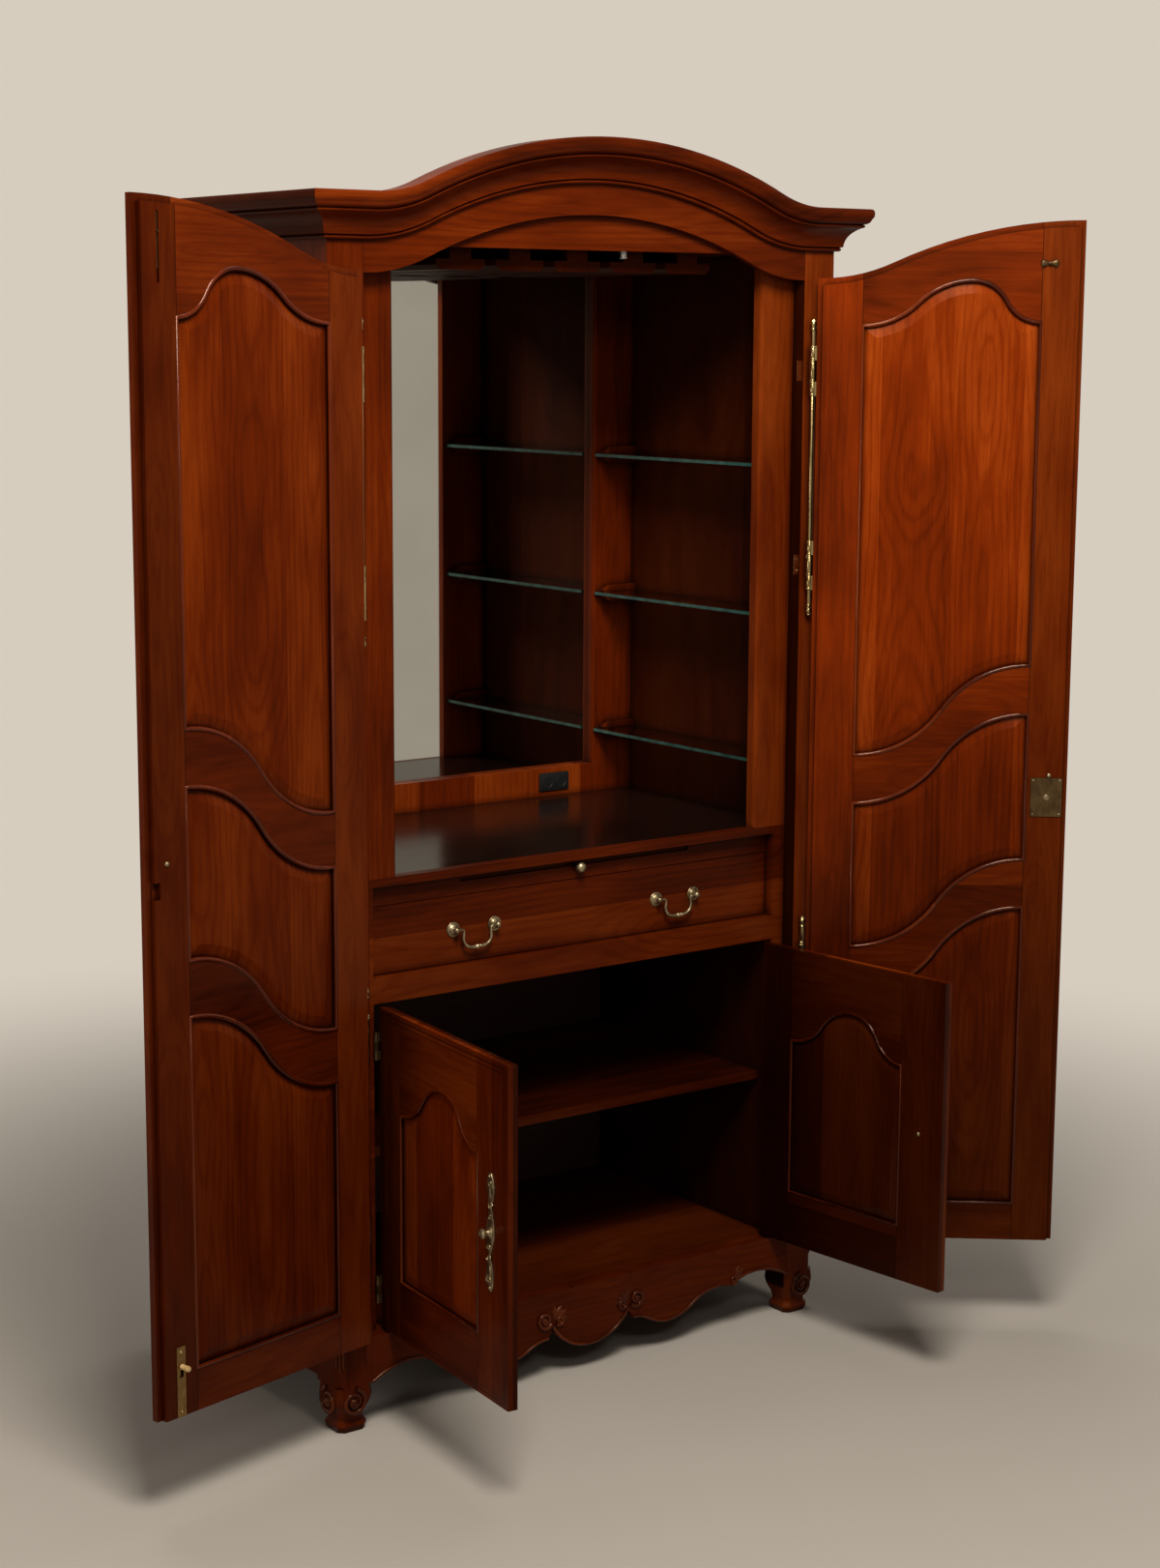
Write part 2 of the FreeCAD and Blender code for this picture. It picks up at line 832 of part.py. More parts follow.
def door_leaf_plate(low, high):
    # Plate that runs from a door knuckle into the edge of the left door
    near = -rod_out + rod_radius / 2
    middle = (door_outer + lip_back) / 2
    far_end = -rod_out + lip_hinge_gap + hinge_leaf_reach
    return box(near, far_end, middle - hinge_leaf / 2, middle + hinge_leaf / 2, low, high)


def hinge_rod(middle):
    # Each end has a finial and two door knuckles, and a plain round rod joins the two ends
    half = rod_length / 2
    spans = sorted(span for span in knuckle_spans()[1] if middle - half < span[0] < middle)
    profile = [(finial_neck, -half), (finial_radius, -half + finial_length / 3),
               (finial_neck, -half + finial_length * 2 / 3), (rod_radius, -half + finial_length)]
    for low, high in spans:
        profile += [(rod_radius, low - middle), (knuckle_radius, low - middle),
                    (knuckle_radius, high - middle), (rod_radius, high - middle)]
    place = V(-rod_out, -rod_forward, middle)
    plates = [door_leaf_plate(low, high) for low, high in spans]
    end = turned(profile[:-1], place, V(0, 0, 1), hinge_sides).fuse(plates)
    inner = spans[-1][1]
    rod = Part.makeCylinder(rod_radius, 2 * (middle - inner), V(-rod_out, -rod_forward, inner))
    return end.fuse([rod, end.mirror(V(0, 0, middle), V(0, 0, 1))]).removeSplitter()


def door_hinges():
    return [hinge_rod(middle) for middle in rod_middles]


def door_x(out):
    # Place on the closed left door at a distance from its rod
    return out - rod_out


def swept_edge(foot):
    # Edge of a door rail that sweeps up from the hinge stile to the free stile
    start = point(door_x(stile_hinge), foot)
    end = point(door_x(stile_free), foot + swept_rail_rise)
    return ogee(start, end, rail_turn)


def sides_between(low_left, high_left, low_right, high_right):
    left = door_x(stile_hinge)
    right = door_x(stile_free)
    return [line(point(left, low_left), point(left, high_left)),
            line(point(right, low_right), point(right, high_right))]


def door_panel_faces():
    peak = point(door_x(top_panel_peak_out), top_panel_peak)
    rise = swept_rail_rise
    crest = ogee(point(door_x(stile_hinge), top_panel_hinge), peak, rail_turn)
    crest += ogee(point(door_x(stile_free), top_panel_free), peak, rail_turn)
    top = swept_edge(top_panel_foot) + crest
    top += sides_between(top_panel_foot, top_panel_hinge, top_panel_foot + rise, top_panel_free)
    middle = swept_edge(middle_panel_foot) + swept_edge(middle_panel_top)
    middle += sides_between(middle_panel_foot, middle_panel_top, middle_panel_foot + rise, middle_panel_top + rise)
    bottom = swept_edge(bottom_panel_top)
    bottom += sides_between(bottom_panel_foot, bottom_panel_top, bottom_panel_foot, bottom_panel_top + rise)
    foot_start = point(door_x(stile_hinge), bottom_panel_foot)
    bottom.append(line(foot_start, point(door_x(stile_free), bottom_panel_foot)))
    return [face_of(edges) for edges in (top, middle, bottom)]


def door_blank():
    # Outer lip laps over the post and the frieze, and the inner part fits inside the opening
    lip_left = door_x(lip_hinge_gap)
    lip_right = -door_middle_gap
    lip = below_arch(lip_overlap, door_outer, lip_back)
    lip = lip.common(box(lip_left, lip_right, door_outer, lip_back, door_bottom, far))
    core = below_arch(-rabbet_top_gap, lip_back, door_inner)
    core_left = lip_left + rabbet_side
    core_right = lip_right - rabbet_middle
    core = core.common(box(core_left, core_right, lip_back, door_inner, door_bottom, far))
    return lip.fuse(core).removeSplitter()


def door_frame(cuts):
    # Two stiles and four rails of the closed left door, less the seats of its fittings
    frame = door_blank()
    for face in door_panel_faces():
        frame = cut_for_panel(frame, face, door_outer, door_inner)
    spans = knuckle_spans()[1]
    frame = frame.cut([door_leaf_plate(low, high) for low, high in spans] + cuts)
    hinge_edge = door_x(stile_hinge)
    free_edge = door_x(stile_free)
    zones = [(-far, hinge_edge), (hinge_edge, free_edge), (free_edge, far)]
    pieces = []
    for left, right in zones:
        pieces += frame.common(box(left, right, -far, far, -far, far)).Solids
    return pieces


def door_panels():
    middle = (door_outer + door_inner) / 2
    return [raised_panel(face, middle, panel_tongue, panel_bevel, panel_raise) for face in door_panel_faces()]


def bolt_depth():
    return (lip_back + door_inner) / 2


def flush_bolt(knob_radius, knob_stand, knob_place):
    # Sliding rod near the lower end of the left door, with a knob through its inner face
    low = door_bottom + bolt_tip_gap
    x = door_x(bolt_out)
    rod = round_bar(bolt_radius, 0, bolt_length, V(x, bolt_depth(), low), V(0, 0, 1), hinge_sides)
    reach = door_inner + knob_stand - bolt_depth()
    place = V(x, bolt_depth(), door_bottom + knob_place)
    knob = round_bar(knob_radius, 0, reach, place, V(0, 1, 0), hinge_sides)
    return rod.fuse(knob).removeSplitter()


def bottom_bolt():
    return flush_bolt(bolt_knob_radius, bolt_knob_stand, bolt_knob_place)


def door_top_at_bolt():
    # Height of the inner part of the left door above the bolt, read from its outline
    probe = Part.makeLine(V(door_x(bolt_out), bolt_depth(), 0), V(door_x(bolt_out), bolt_depth(), far))
    return door_blank().common(probe).BoundBox.ZMax


def turned_over(shape, top):
    # Swaps the two ends of the left door
    return shape.mirror(V(0, 0, (door_bottom + top) / 2), V(0, 0, 1))


def top_bolt(top):
    return turned_over(flush_bolt(lever_radius, lever_stand, lever_place), top)


def bolt_seat(knob_radius, slot_start, slot_end):
    # Bore for the rod and slot for the knob of a bolt at the lower end of the door
    x = door_x(bolt_out)
    hole = bore_radius(bolt_radius + bolt_fit, hinge_sides)
    high = bolt_length + 2 * bolt_tip_gap
    bore = round_bar(hole, -1, high, V(x, bolt_depth(), door_bottom), V(0, 0, 1), hinge_sides)
    half = knob_radius + bolt_knob_gap
    slot = box(x - half, x + half, bolt_depth(), far, door_bottom + slot_start, door_bottom + slot_end)
    return bore.fuse(slot)


def bottom_seat():
    return bolt_seat(bolt_knob_radius, bolt_slot_start, bolt_slot_end)


def bolt_strike(low, high):
    # Hole in the case that takes the end of a bolt when the left door is shut
    place = V(door_x(bolt_out), bolt_depth(), 0)
    return round_bar(bolt_radius + strike_gap, low, high, place, V(0, 0, 1), hinge_sides)


def bolt_plate():
    x = door_x(bolt_out)
    half = bolt_plate_width / 2
    back = door_inner + bolt_plate_thickness
    plate = box(x - half, x + half, door_inner, back, door_bottom, door_bottom + bolt_plate_height)
    return plate.cut(bottom_seat())


def lock_case():
    # Cover plate on the inner face and a case let into the stile
    x = door_x(lock_out)
    z = lock_middle
    plate = box(x - lock_width / 2, x + lock_width / 2, door_inner, door_inner + lock_plate_thickness,
                z - lock_height / 2, z + lock_height / 2)
    return plate.fuse(lock_seat()).removeSplitter().cut(lock_bolt_way())


def lock_seat():
    x = door_x(lock_out)
    z = lock_middle
    return box(x - lock_case_width / 2, x + lock_case_width / 2, door_inner - lock_case_depth, door_inner,
               z - lock_case_height / 2, z + lock_case_height / 2)


def lock_bolt_end():
    return -door_middle_gap - rabbet_middle


def lock_bolt():
    end = lock_bolt_end()
    y = door_inner - lock_case_depth / 2
    half = lock_bolt_thickness / 2
    bolt = box(end - lock_bolt_length, end, y - half, y + half,
               lock_middle - lock_bolt_height / 2, lock_middle + lock_bolt_height / 2)
    return bolt


def lock_bolt_way():
    end = lock_bolt_end()
    y = door_inner - lock_case_depth / 2
    half = lock_bolt_thickness / 2 + lock_bolt_fit
    tall = lock_bolt_height / 2 + lock_bolt_fit
    start = end - lock_bolt_length - lock_bolt_fit
    return box(start, end + 1, y - half, y + half, lock_middle - tall, lock_middle + tall)


def keeper():
    # Slot in the free edge of the left door that takes the lock bolt
    end = lock_bolt_end()
    y = door_inner - lock_case_depth / 2
    half = lock_bolt_thickness / 2 + keeper_gap
    tall = lock_bolt_height / 2 + keeper_gap
    depth = lock_bolt_travel + keeper_gap
    return box(end - depth, end + 1, y - half, y + half, lock_middle - tall, lock_middle + tall)


def door_pull(x, z, face):
    # Scrolled back plate and turned knob on an outward face
    half = plate_height / 2
    top = point(x, z + half)
    bottom = point(x, z - half)
    left = [arc(top, point(x - plate_width / 2, z + half / 2), point(x - plate_waist, z)),
            arc(point(x - plate_waist, z), point(x - plate_width / 2, z - half / 2), bottom)]
    right = [arc(top, point(x + plate_width / 2, z + half / 2), point(x + plate_waist, z)),
             arc(point(x + plate_waist, z), point(x + plate_width / 2, z - half / 2), bottom)]
    plate = slab(face_of(left + right), face - plate_thickness, face)
    length = knob_length - plate_thickness
    profile = [(knob_neck_radius + knob_flare, 0), (knob_neck_radius, length / 4), (knob_neck_radius, length / 2),
               (knob_radius, length * 0.65), (knob_radius, length * 0.85), (knob_radius / 2, length)]
    knob = turned(profile, V(x, face - plate_thickness, z), V(0, -1, 0), turning_sides)
    return [plate, knob]


def small_x(out):
    return out - barrel_out


def small_panel_face():
    left = small_x(small_stile_hinge)
    right = small_x(small_stile_free)
    foot = small_door_bottom + small_panel_foot_rise
    hinge_side = small_door_top - small_panel_hinge_drop
    free_side = small_door_top - small_panel_free_drop
    peak = point(small_x(small_panel_peak_out), small_door_top - small_panel_peak_drop)
    edges = ogee(point(left, hinge_side), peak, rail_turn)
    edges += ogee(point(right, free_side), peak, rail_turn)
    edges += [line(point(left, foot), point(left, hinge_side)), line(point(right, foot), point(right, free_side)),
              line(point(left, foot), point(right, foot))]
    return face_of(edges)


def small_door_frame():
    back = small_door_face + small_door_thickness
    left = small_x(small_door_edge)
    blank = box(left, -door_middle_gap, small_door_face, back, small_door_bottom, small_door_top)
    frame = cut_for_panel(blank, small_panel_face(), small_door_face, back)
    hinge_edge = small_x(small_stile_hinge)
    free_edge = small_x(small_stile_free)
    pieces = []
    for x0, x1 in [(-far, hinge_edge), (hinge_edge, free_edge), (free_edge, far)]:
        pieces += frame.common(box(x0, x1, -far, far, -far, far)).Solids
    return pieces


def small_door_panel():
    middle = small_door_face + small_door_thickness / 2
    return [raised_panel(small_panel_face(), middle, small_panel_tongue, small_panel_bevel, small_panel_raise)]


def small_leaf(inner, outer, low, high, hole):
    # Knuckle and leaf of a small door hinge on the left side
    place = V(-barrel_out, barrel_depth, 0)
    up = V(0, 0, 1)
    knuckle = round_bar(barrel_radius, low, high, place, up, hinge_sides)
    start = barrel_depth + (barrel_pin + barrel_radius) / 2
    plate = box(inner, outer, start, barrel_depth + leaf_depth, low, high)
    leaf = knuckle.fuse(plate)
    if hole:
        leaf = leaf.cut(round_bar(hole, low - 1, high + 1, place, up, hinge_sides))
    return leaf.removeSplitter()


def small_case_leaves():
    pieces = []
    inner = -lower_stile_inner
    for z in barrel_heights:
        half = barrel_knuckle / 2
        hole = bore_radius(barrel_pin + rod_fit, hinge_sides)
        pieces.append(small_leaf(inner, inner + leaf_thickness, z - half, z + half, hole))
    return pieces


def small_door_hinges():
    # Two knuckles and the pin through them, with leaves on the edge of the door
    edge = small_x(small_door_edge)
    pieces = []
    for z in barrel_heights:
        low = z - barrel_knuckle / 2 - knuckle_gap
        high = z + barrel_knuckle / 2 + knuckle_gap
        below = small_leaf(edge - leaf_thickness, edge, low - barrel_knuckle, low, 0)
        above = small_leaf(edge - leaf_thickness, edge, high, high + barrel_knuckle, 0)
        pin = round_bar(barrel_pin, low - 1, high + 1, V(-barrel_out, barrel_depth, 0), V(0, 0, 1), hinge_sides)
        pieces.append(below.fuse([above, pin]).removeSplitter())
    return pieces


def drawer_front():
    half = lower_stile_inner - drawer_side_gap
    back = drawer_face + drawer_front_thickness
    low = drawer_bottom + drawer_face_gap
    high = strip_bottom - drawer_face_gap
    return box(-half, half, drawer_face, back, low, high)


def drawer_box():
    front = drawer_face + drawer_front_thickness
    back = front + drawer_length
    low = runner_top() + runner_gap
    high = low + drawer_box_height
    inner = drawer_side_outer - drawer_board
    side = box(inner, drawer_side_outer, front, back, low, high)
    rear = box(-inner, inner, back - drawer_board, back, low, high)
    floor_low = low + drawer_floor_rise
    floor = box(-inner, inner, front, back - drawer_board, floor_low, floor_low + drawer_floor_thickness)
    return both(side) + [rear, floor]


def pull_height():
    return (drawer_bottom + strip_bottom) / 2


def bail_axis_depth():
    return drawer_face - bail_stand_off


def ball_profile(radius, centre, start):
    # Half outline of a ball from a starting angle to its pole
    angles = [math.radians(start + (90 - start) * i / ball_steps) for i in range(ball_steps)]
    return [(radius * math.cos(a), centre + radius * math.sin(a)) for a in angles]


def rose(x):
    # Ringed rose, stem and ball
    z = pull_height()
    start = -math.degrees(math.acos(rose_stem_radius / bail_ball_radius))
    profile = [(rose_radius, 0), (rose_radius - rose_ring, rose_thickness),
               (rose_radius - 2 * rose_ring, rose_thickness / 2),
               (rose_stem_radius, rose_thickness)]
    profile += ball_profile(bail_ball_radius, bail_stand_off, start)
    return turned(profile, V(x, drawer_face, z), V(0, -1, 0), hinge_sides)


def bail_bore(middle):
    z = pull_height()
    half = pull_spread / 2
    hole = bore_radius(bail_wire + bail_fit, hinge_sides)
    return round_bar(hole, -half, half, V(middle, bail_axis_depth(), z), V(1, 0, 0), hinge_sides)


def drawer_roses():
    pieces = []
    for middle in (-pull_middle, pull_middle):
        for side in (-1, 1):
            pieces.append(rose(middle + side * pull_spread / 2).cut(bail_bore(middle)))
    return pieces


def bail(middle):
    # Wire that leaves each ball, turns down in chords of arcs and hangs in a flat bow with a knop
    z = pull_height()
    y = bail_axis_depth()

    def at(x, drop):
        return V(middle + x, y, z - drop)
    start = pull_spread / 2 - bail_end_play
    elbow = pull_spread / 2 - bail_ball_radius - bail_neck
    down = elbow - bail_elbow
    bend = bail_elbow * (1 - math.sqrt(0.5))
    bow = bail_curve * (1 - math.sqrt(0.5))
    low = bail_drop - bail_curve
    turn = arc(at(-elbow, 0), at(-elbow + bail_elbow - bend, bend), at(-down, bail_elbow))
    sweep = arc(at(-down, low), at(-down + bow, bail_drop - bow), at(-down + bail_curve, bail_drop))
    stops = [at(-start, 0)] + turn.discretize(wire_chords + 1) + sweep.discretize(wire_chords + 1)
    path = Part.makePolygon(stops + [at(-bail_knop_half, bail_drop)])
    angles = [2 * math.pi * i / wire_sides for i in range(wire_sides)]
    corners = [at(-start, 0) + V(0, bail_wire * math.cos(a), bail_wire * math.sin(a)) for a in angles]
    section = Part.makePolygon(corners + corners[:1])
    half = path.makePipeShell([section], True, False, 1)
    other = half.mirror(V(middle, 0, 0), V(1, 0, 0))
    swell = (bail_wire + bail_knop_radius) / 2
    profile = [(bail_wire, -bail_knop_half), (swell, -bail_knop_half / 2), (bail_knop_radius, 0),
               (swell, bail_knop_half / 2), (bail_wire, bail_knop_half)]
    knop = turned(profile, at(0, bail_drop), V(1, 0, 0), wire_sides)
    return half.fuse([other, knop])


def tray_board():
    half = slot_half - tray_gap
    front = drawer_face + tray_front_recess
    low = slot_bottom + tray_lift
    return box(-half, half, front, front + tray_length, low, low + tray_thickness)


def tray_knob():
    # Ball on a short neck that leans forward and down from the front edge of the tray
    front = drawer_face + tray_front_recess
    root = V(0, front, slot_bottom + tray_lift + tray_thickness / 2)
    lean = V(0, -tray_knob_gap - tray_knob_radius, -tray_knob_drop)
    start = -math.degrees(math.acos(tray_knob_neck_radius / tray_knob_radius))
    profile = [(tray_knob_neck_radius, -tray_knob_radius)]
    profile += ball_profile(tray_knob_radius, lean.Length, start)
    return turned(profile, root, lean, turning_sides).cut(box(-far, far, front, far, 0, far))


def swung(shapes, side, axis_out, axis_depth, angle):
    # Closed left-hand pieces, moved to one side of the case and swung open
    pieces = []
    for shape in shapes:
        placed = shape if side < 0 else mirrored(shape)
        pieces.append(placed.rotated(V(side * axis_out, axis_depth, 0), V(0, 0, 1), side * angle))
    return pieces


def tall(shapes, side):
    return swung(shapes, side, rod_out, -rod_forward, left_angle if side < 0 else right_angle)


def small(shapes, side):
    return swung(shapes, side, barrel_out, barrel_depth, small_left_angle if side < 0 else small_right_angle)


def export(name, shapes):
    pieces = shapes if isinstance(shapes, list) else [shapes]
    solids = [solid for piece in pieces for solid in piece.Solids]
    moved = [solid.translated(V(0, -case_depth / 2, 0)) for solid in solids]
    shape = moved[0] if len(moved) == 1 else Part.makeCompound(moved)
    if not shape.isValid():
        print("not valid:", name)
    shape.exportStep("parts/" + name + ".step")
    print(name, len(moved), round(shape.Volume))


def export_case():
    post = front_post()
    export("left_front_post", mirrored(post))
    export("right_front_post", post)
    export("rear_posts", rear_posts())
    side = side_frame()
    export("left_side", [mirrored(piece) for piece in side])
    export("right_side", side)
    export("back_panel", box(-side_inner, side_inner, back_front, case_depth, back_bottom, post_top))
    export("frieze_board", frieze_board())
    export("crown_front", crown_front())
    export("crown_returns", both(crown_return()))
    export("roof_board", roof_board())
    export("apron", apron())
    export("bottom_board", bottom_board())
    export("left_inner_side", mirrored(inner_side()))
    export("right_inner_side", inner_side())
    export("post_hinges", post_hinges())


def export_bar():
    export("upper_stiles", upper_stiles())
    export("ceiling_board", ceiling_board())
    export("arch_valance", valance())
    export("stemware_rack", stemware_rack())
    export("interior_lamp", interior_lamp())
    export("mirror", mirror_plate())
    export("mirror_frame", mirror_frame())
    export("power_outlet", power_outlet())
    export("glass_shelves", glass_shelves())
    export("shelf_holders", shelf_holders())
    export("work_surface", work_surface())


def export_lower_storeys():
    export("drawer_frame", drawer_frame())
    export("dust_board", dust_board())
    export("slide_runners", drawer_runners() + tray_guides())
    export("lower_liners", lower_liners())
    export("lower_shelf", lower_shelf())
    export("shelf_pins", shelf_pins())
    export("small_hinge_leaves", [leaf for piece in small_case_leaves() for leaf in both(piece)])
    export("drawer_front", drawer_front())
    export("drawer_box", drawer_box())
    export("drawer_roses", drawer_roses())
    export("left_bail", bail(-pull_middle))
    export("right_bail", bail(pull_middle))
    export("serving_tray", tray_board())
    export("tray_knob", tray_knob())


def export_tall_doors():
    top = door_top_at_bolt()
    upper_seat = turned_over(bolt_seat(lever_radius, lever_slot_start, lever_slot_end), top)
    pull = door_pull(door_x(tall_pull_out), tall_pull_height, door_outer)
    left_cuts = [bottom_seat(), upper_seat, keeper()]
    right_cuts = [lock_seat(), lock_bolt_way()]
    export("left_door_frame", tall(door_frame(left_cuts), -1))
    export("right_door_frame", tall(door_frame(right_cuts), 1))
    for side, name in ((-1, "left"), (1, "right")):
        export(name + "_door_panels", tall(door_panels(), side))
        export(name + "_door_hinges", tall(door_hinges(), side))
        export(name + "_door_pull", tall(pull, side))
    export("bolt_plate", tall([bolt_plate()], -1))
    export("bottom_bolt", tall([bottom_bolt()], -1))
    export("top_bolt", tall([top_bolt(top)], -1))
    export("lock_case", tall([lock_case()], 1))
    export("lock_bolt", tall([lock_bolt()], 1))


def export_small_doors():
    pull = door_pull(small_x(small_pull_out), small_pull_height, small_door_face)
    for side, name in ((-1, "left"), (1, "right")):
        export(name + "_small_door", small(small_door_frame() + small_door_panel(), side))
        export(name + "_small_hinges", small(small_door_hinges(), side))
        export(name + "_small_pull", small(pull, side))


os.makedirs("parts", exist_ok=True)
export_case()
export_bar()
export_lower_storeys()
export_tall_doors()
export_small_doors()
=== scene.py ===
import bpy
import math
from mathutils import Matrix, Vector


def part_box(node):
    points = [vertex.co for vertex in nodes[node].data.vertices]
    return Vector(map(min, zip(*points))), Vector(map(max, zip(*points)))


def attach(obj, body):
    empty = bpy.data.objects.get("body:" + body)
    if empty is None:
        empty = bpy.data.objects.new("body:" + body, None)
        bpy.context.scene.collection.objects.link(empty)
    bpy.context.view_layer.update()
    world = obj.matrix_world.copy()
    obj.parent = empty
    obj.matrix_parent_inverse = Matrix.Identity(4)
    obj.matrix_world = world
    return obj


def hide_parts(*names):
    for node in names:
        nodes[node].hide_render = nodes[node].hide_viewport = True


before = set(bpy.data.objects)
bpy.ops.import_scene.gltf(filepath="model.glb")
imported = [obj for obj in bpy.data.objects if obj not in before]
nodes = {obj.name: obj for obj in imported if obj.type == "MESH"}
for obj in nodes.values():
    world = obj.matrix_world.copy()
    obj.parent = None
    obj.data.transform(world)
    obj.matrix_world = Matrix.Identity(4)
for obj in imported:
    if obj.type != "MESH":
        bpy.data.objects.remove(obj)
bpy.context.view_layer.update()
print("cabinet loaded,", len(nodes), "nodes")


# one value on a shader socket, so that sums can be written as sums
class Wire:
    def __init__(self, finish, socket):
        self.finish = finish
        self.socket = socket

    def __add__(self, other):
        return self.finish.maths("ADD", self, other)

    def __radd__(self, other):
        return self.finish.maths("ADD", other, self)

    def __sub__(self, other):
        return self.finish.maths("SUBTRACT", self, other)

    def __rsub__(self, other):
        return self.finish.maths("SUBTRACT", other, self)

    def __mul__(self, other):
        return self.finish.maths("MULTIPLY", self, other)

    def __rmul__(self, other):
        return self.finish.maths("MULTIPLY", other, self)

    def __gt__(self, other):
        return self.finish.maths("GREATER_THAN", self, other)

    def __lt__(self, other):
        return self.finish.maths("LESS_THAN", self, other)


class Finish:
    def __init__(self, name):
        self.material = bpy.data.materials.new(name)
        self.material.use_nodes = True
        self.tree = self.material.node_tree
        self.skin = self.tree.nodes["Principled BSDF"]
        self.place = self.node("ShaderNodeTexCoord", {}, {}, "Object")

    # any node: its settings first, then the values or links of its sockets
    def node(self, kind, settings, inputs, output=0):
        made = self.tree.nodes.new(kind)
        for key, value in settings.items():
            if key == "stops":
                self.stops(made.color_ramp, value)
            else:
                setattr(made, key, value)
        for key, value in inputs.items():
            self.feed(made.inputs[key], value)
        return Wire(self, made.outputs[output])

    def stops(self, ramp, stops):
        while len(ramp.elements) < len(stops):
            ramp.elements.new(1)
        for element, (at, colour) in zip(ramp.elements, stops):
            element.position = at
            element.color = (*colour, 1)

    def feed(self, socket, value):
        if isinstance(value, Wire):
            self.tree.links.new(value.socket, socket)
        else:
            socket.default_value = value

    def set(self, **sockets):
        for key, value in sockets.items():
            self.feed(self.skin.inputs[key.replace("_", " ")], value)
        return self

    def maths(self, operation, *values):
        return self.node("ShaderNodeMath", {"operation": operation}, dict(enumerate(values)))

    def clamped(self, value):
        return self.node("ShaderNodeClamp", {}, {0: value})

    # how far a value has come from low to high, from 0 to 1
    def share(self, value, low, high, rise="LINEAR"):
        return self.node("ShaderNodeMapRange", {"interpolation_type": rise},
                         {"Value": value, "From Min": low, "From Max": high})

    def stretched(self, place, scales):
        return self.node("ShaderNodeVectorMath", {"operation": "MULTIPLY"}, {0: place, 1: scales})

    def shaded(self, colour, shade):
        return self.node("ShaderNodeVectorMath", {"operation": "MULTIPLY"}, {0: colour, 1: (shade,) * 3})

    def noise(self, place, scale, detail, roughness=0.5):
        return self.node("ShaderNodeTexNoise", {}, {"Vector": place, "Scale": scale, "Detail": detail,
                                                   "Roughness": roughness})

    def parts(self, place):
        split = self.node("ShaderNodeSeparateXYZ", {}, {0: place})
        return [Wire(self, output) for output in split.socket.node.outputs]

    def between(self, factor, first, second):
        return self.node("ShaderNodeMix", {"data_type": "RGBA"}, {0: factor, 6: first, 7: second}, 2)

    def ramp(self, value, stops):
        return self.node("ShaderNodeValToRGB", {"stops": stops}, {0: value})

    def bump(self, height, strength, distance):
        return self.node("ShaderNodeBump", {}, {"Height": height, "Strength": strength, "Distance": distance})

    def blend(self, factor, other):
        own = Wire(self, self.skin.outputs[0])
        mixed = self.node("ShaderNodeMixShader", {}, {0: factor, 1: own, 2: other})
        self.feed(self.tree.nodes["Material Output"].inputs["Surface"], mixed)


# lacquered cherry: figure and pores run along the grain, and painted shade darkens the corners
cherryTones = {
    "deep": (0.036, 0.0038, 0.0004),
    "mid": (0.122, 0.0138, 0.0009),
    "light": (0.255, 0.0410, 0.0038),
    "pore": (0.048, 0.0056, 0.0006),
    # colour of the painted shade in corners and creases
    "corner": (0.007, 0.0012, 0.0004),
    "joint": (0.006, 0.0016, 0.0007),
}
toneStops = ((0.05, "deep"), (0.45, "mid"), (0.90, "light"))
grainTurns = {"z": (0, 0, 0), "x": (0, math.pi / 2, 0), "y": (math.pi / 2, 0, 0)}
staveWide = 0.13     # boards are glued up from staves
figureSize = {"streaks": (260, 260, 7), "pores": (900, 900, 26), "clouds": (5, 5, 1.6), "mottle": (26, 26, 6),
              "wander": (14, 14, 2), "rings": 520}
figureShare = {"streaks": 0.36, "tint": 0.42, "mottle": 0.55, "wander": 15, "rings": 0.085}
pore = {"from": 0.46, "rise": 6, "share": 0.30}
heart = {"lean": 0.35, "change": (3.7, 9, 1.4), "rest": 0.42, "depth": 0.26}


# rings lie round a heart that drifts in depth along each stave, which gives pointed arches
def yearRings(finish, along, seed):
    x, y, z = finish.parts(along)
    across = x + y * heart["lean"]
    stave = finish.maths("FLOOR", across * (1 / staveWide))
    tint = finish.node("ShaderNodeTexWhiteNoise", {"noise_dimensions": "1D"}, {"W": stave + seed})
    place = finish.node("ShaderNodeCombineXYZ", {}, {0: stave, 1: tint, 2: z})
    drift = finish.noise(finish.stretched(place, heart["change"]), 1, 2)
    offset = across - (stave + 0.5) * staveWide
    depth = (drift - heart["rest"]) * heart["depth"]
    radius = finish.maths("SQRT", offset * offset + depth * depth)
    wander = finish.noise(finish.stretched(along, figureSize["wander"]), 1, 3)
    wave = finish.maths("SINE", radius * figureSize["rings"] + wander * figureShare["wander"]) * 0.5 + 0.5
    return finish.maths("POWER", wave, 3), tint     # thin late-wood lines


def grainFields(finish, place, grain, seed):
    along = finish.node("ShaderNodeMapping", {}, {"Vector": place, "Location": (seed, seed * 0.7, seed * 1.3),
                                                  "Rotation": grainTurns[grain]})
    rings, tint = yearRings(finish, along, seed)
    streaks, pores, mottle, clouds = [finish.noise(finish.stretched(along, figureSize[key]), 1, detail, rough)
                                      for key, detail, rough in (("streaks", 4, 0.6), ("pores", 2, 0.5),
                                                                 ("mottle", 4, 0.6), ("clouds", 3, 0.5))]
    clouds = clouds + (tint - 0.5) * figureShare["tint"] + (mottle - 0.5) * figureShare["mottle"]
    return {"rings": rings, "streaks": streaks, "pores": pores, "clouds": clouds}


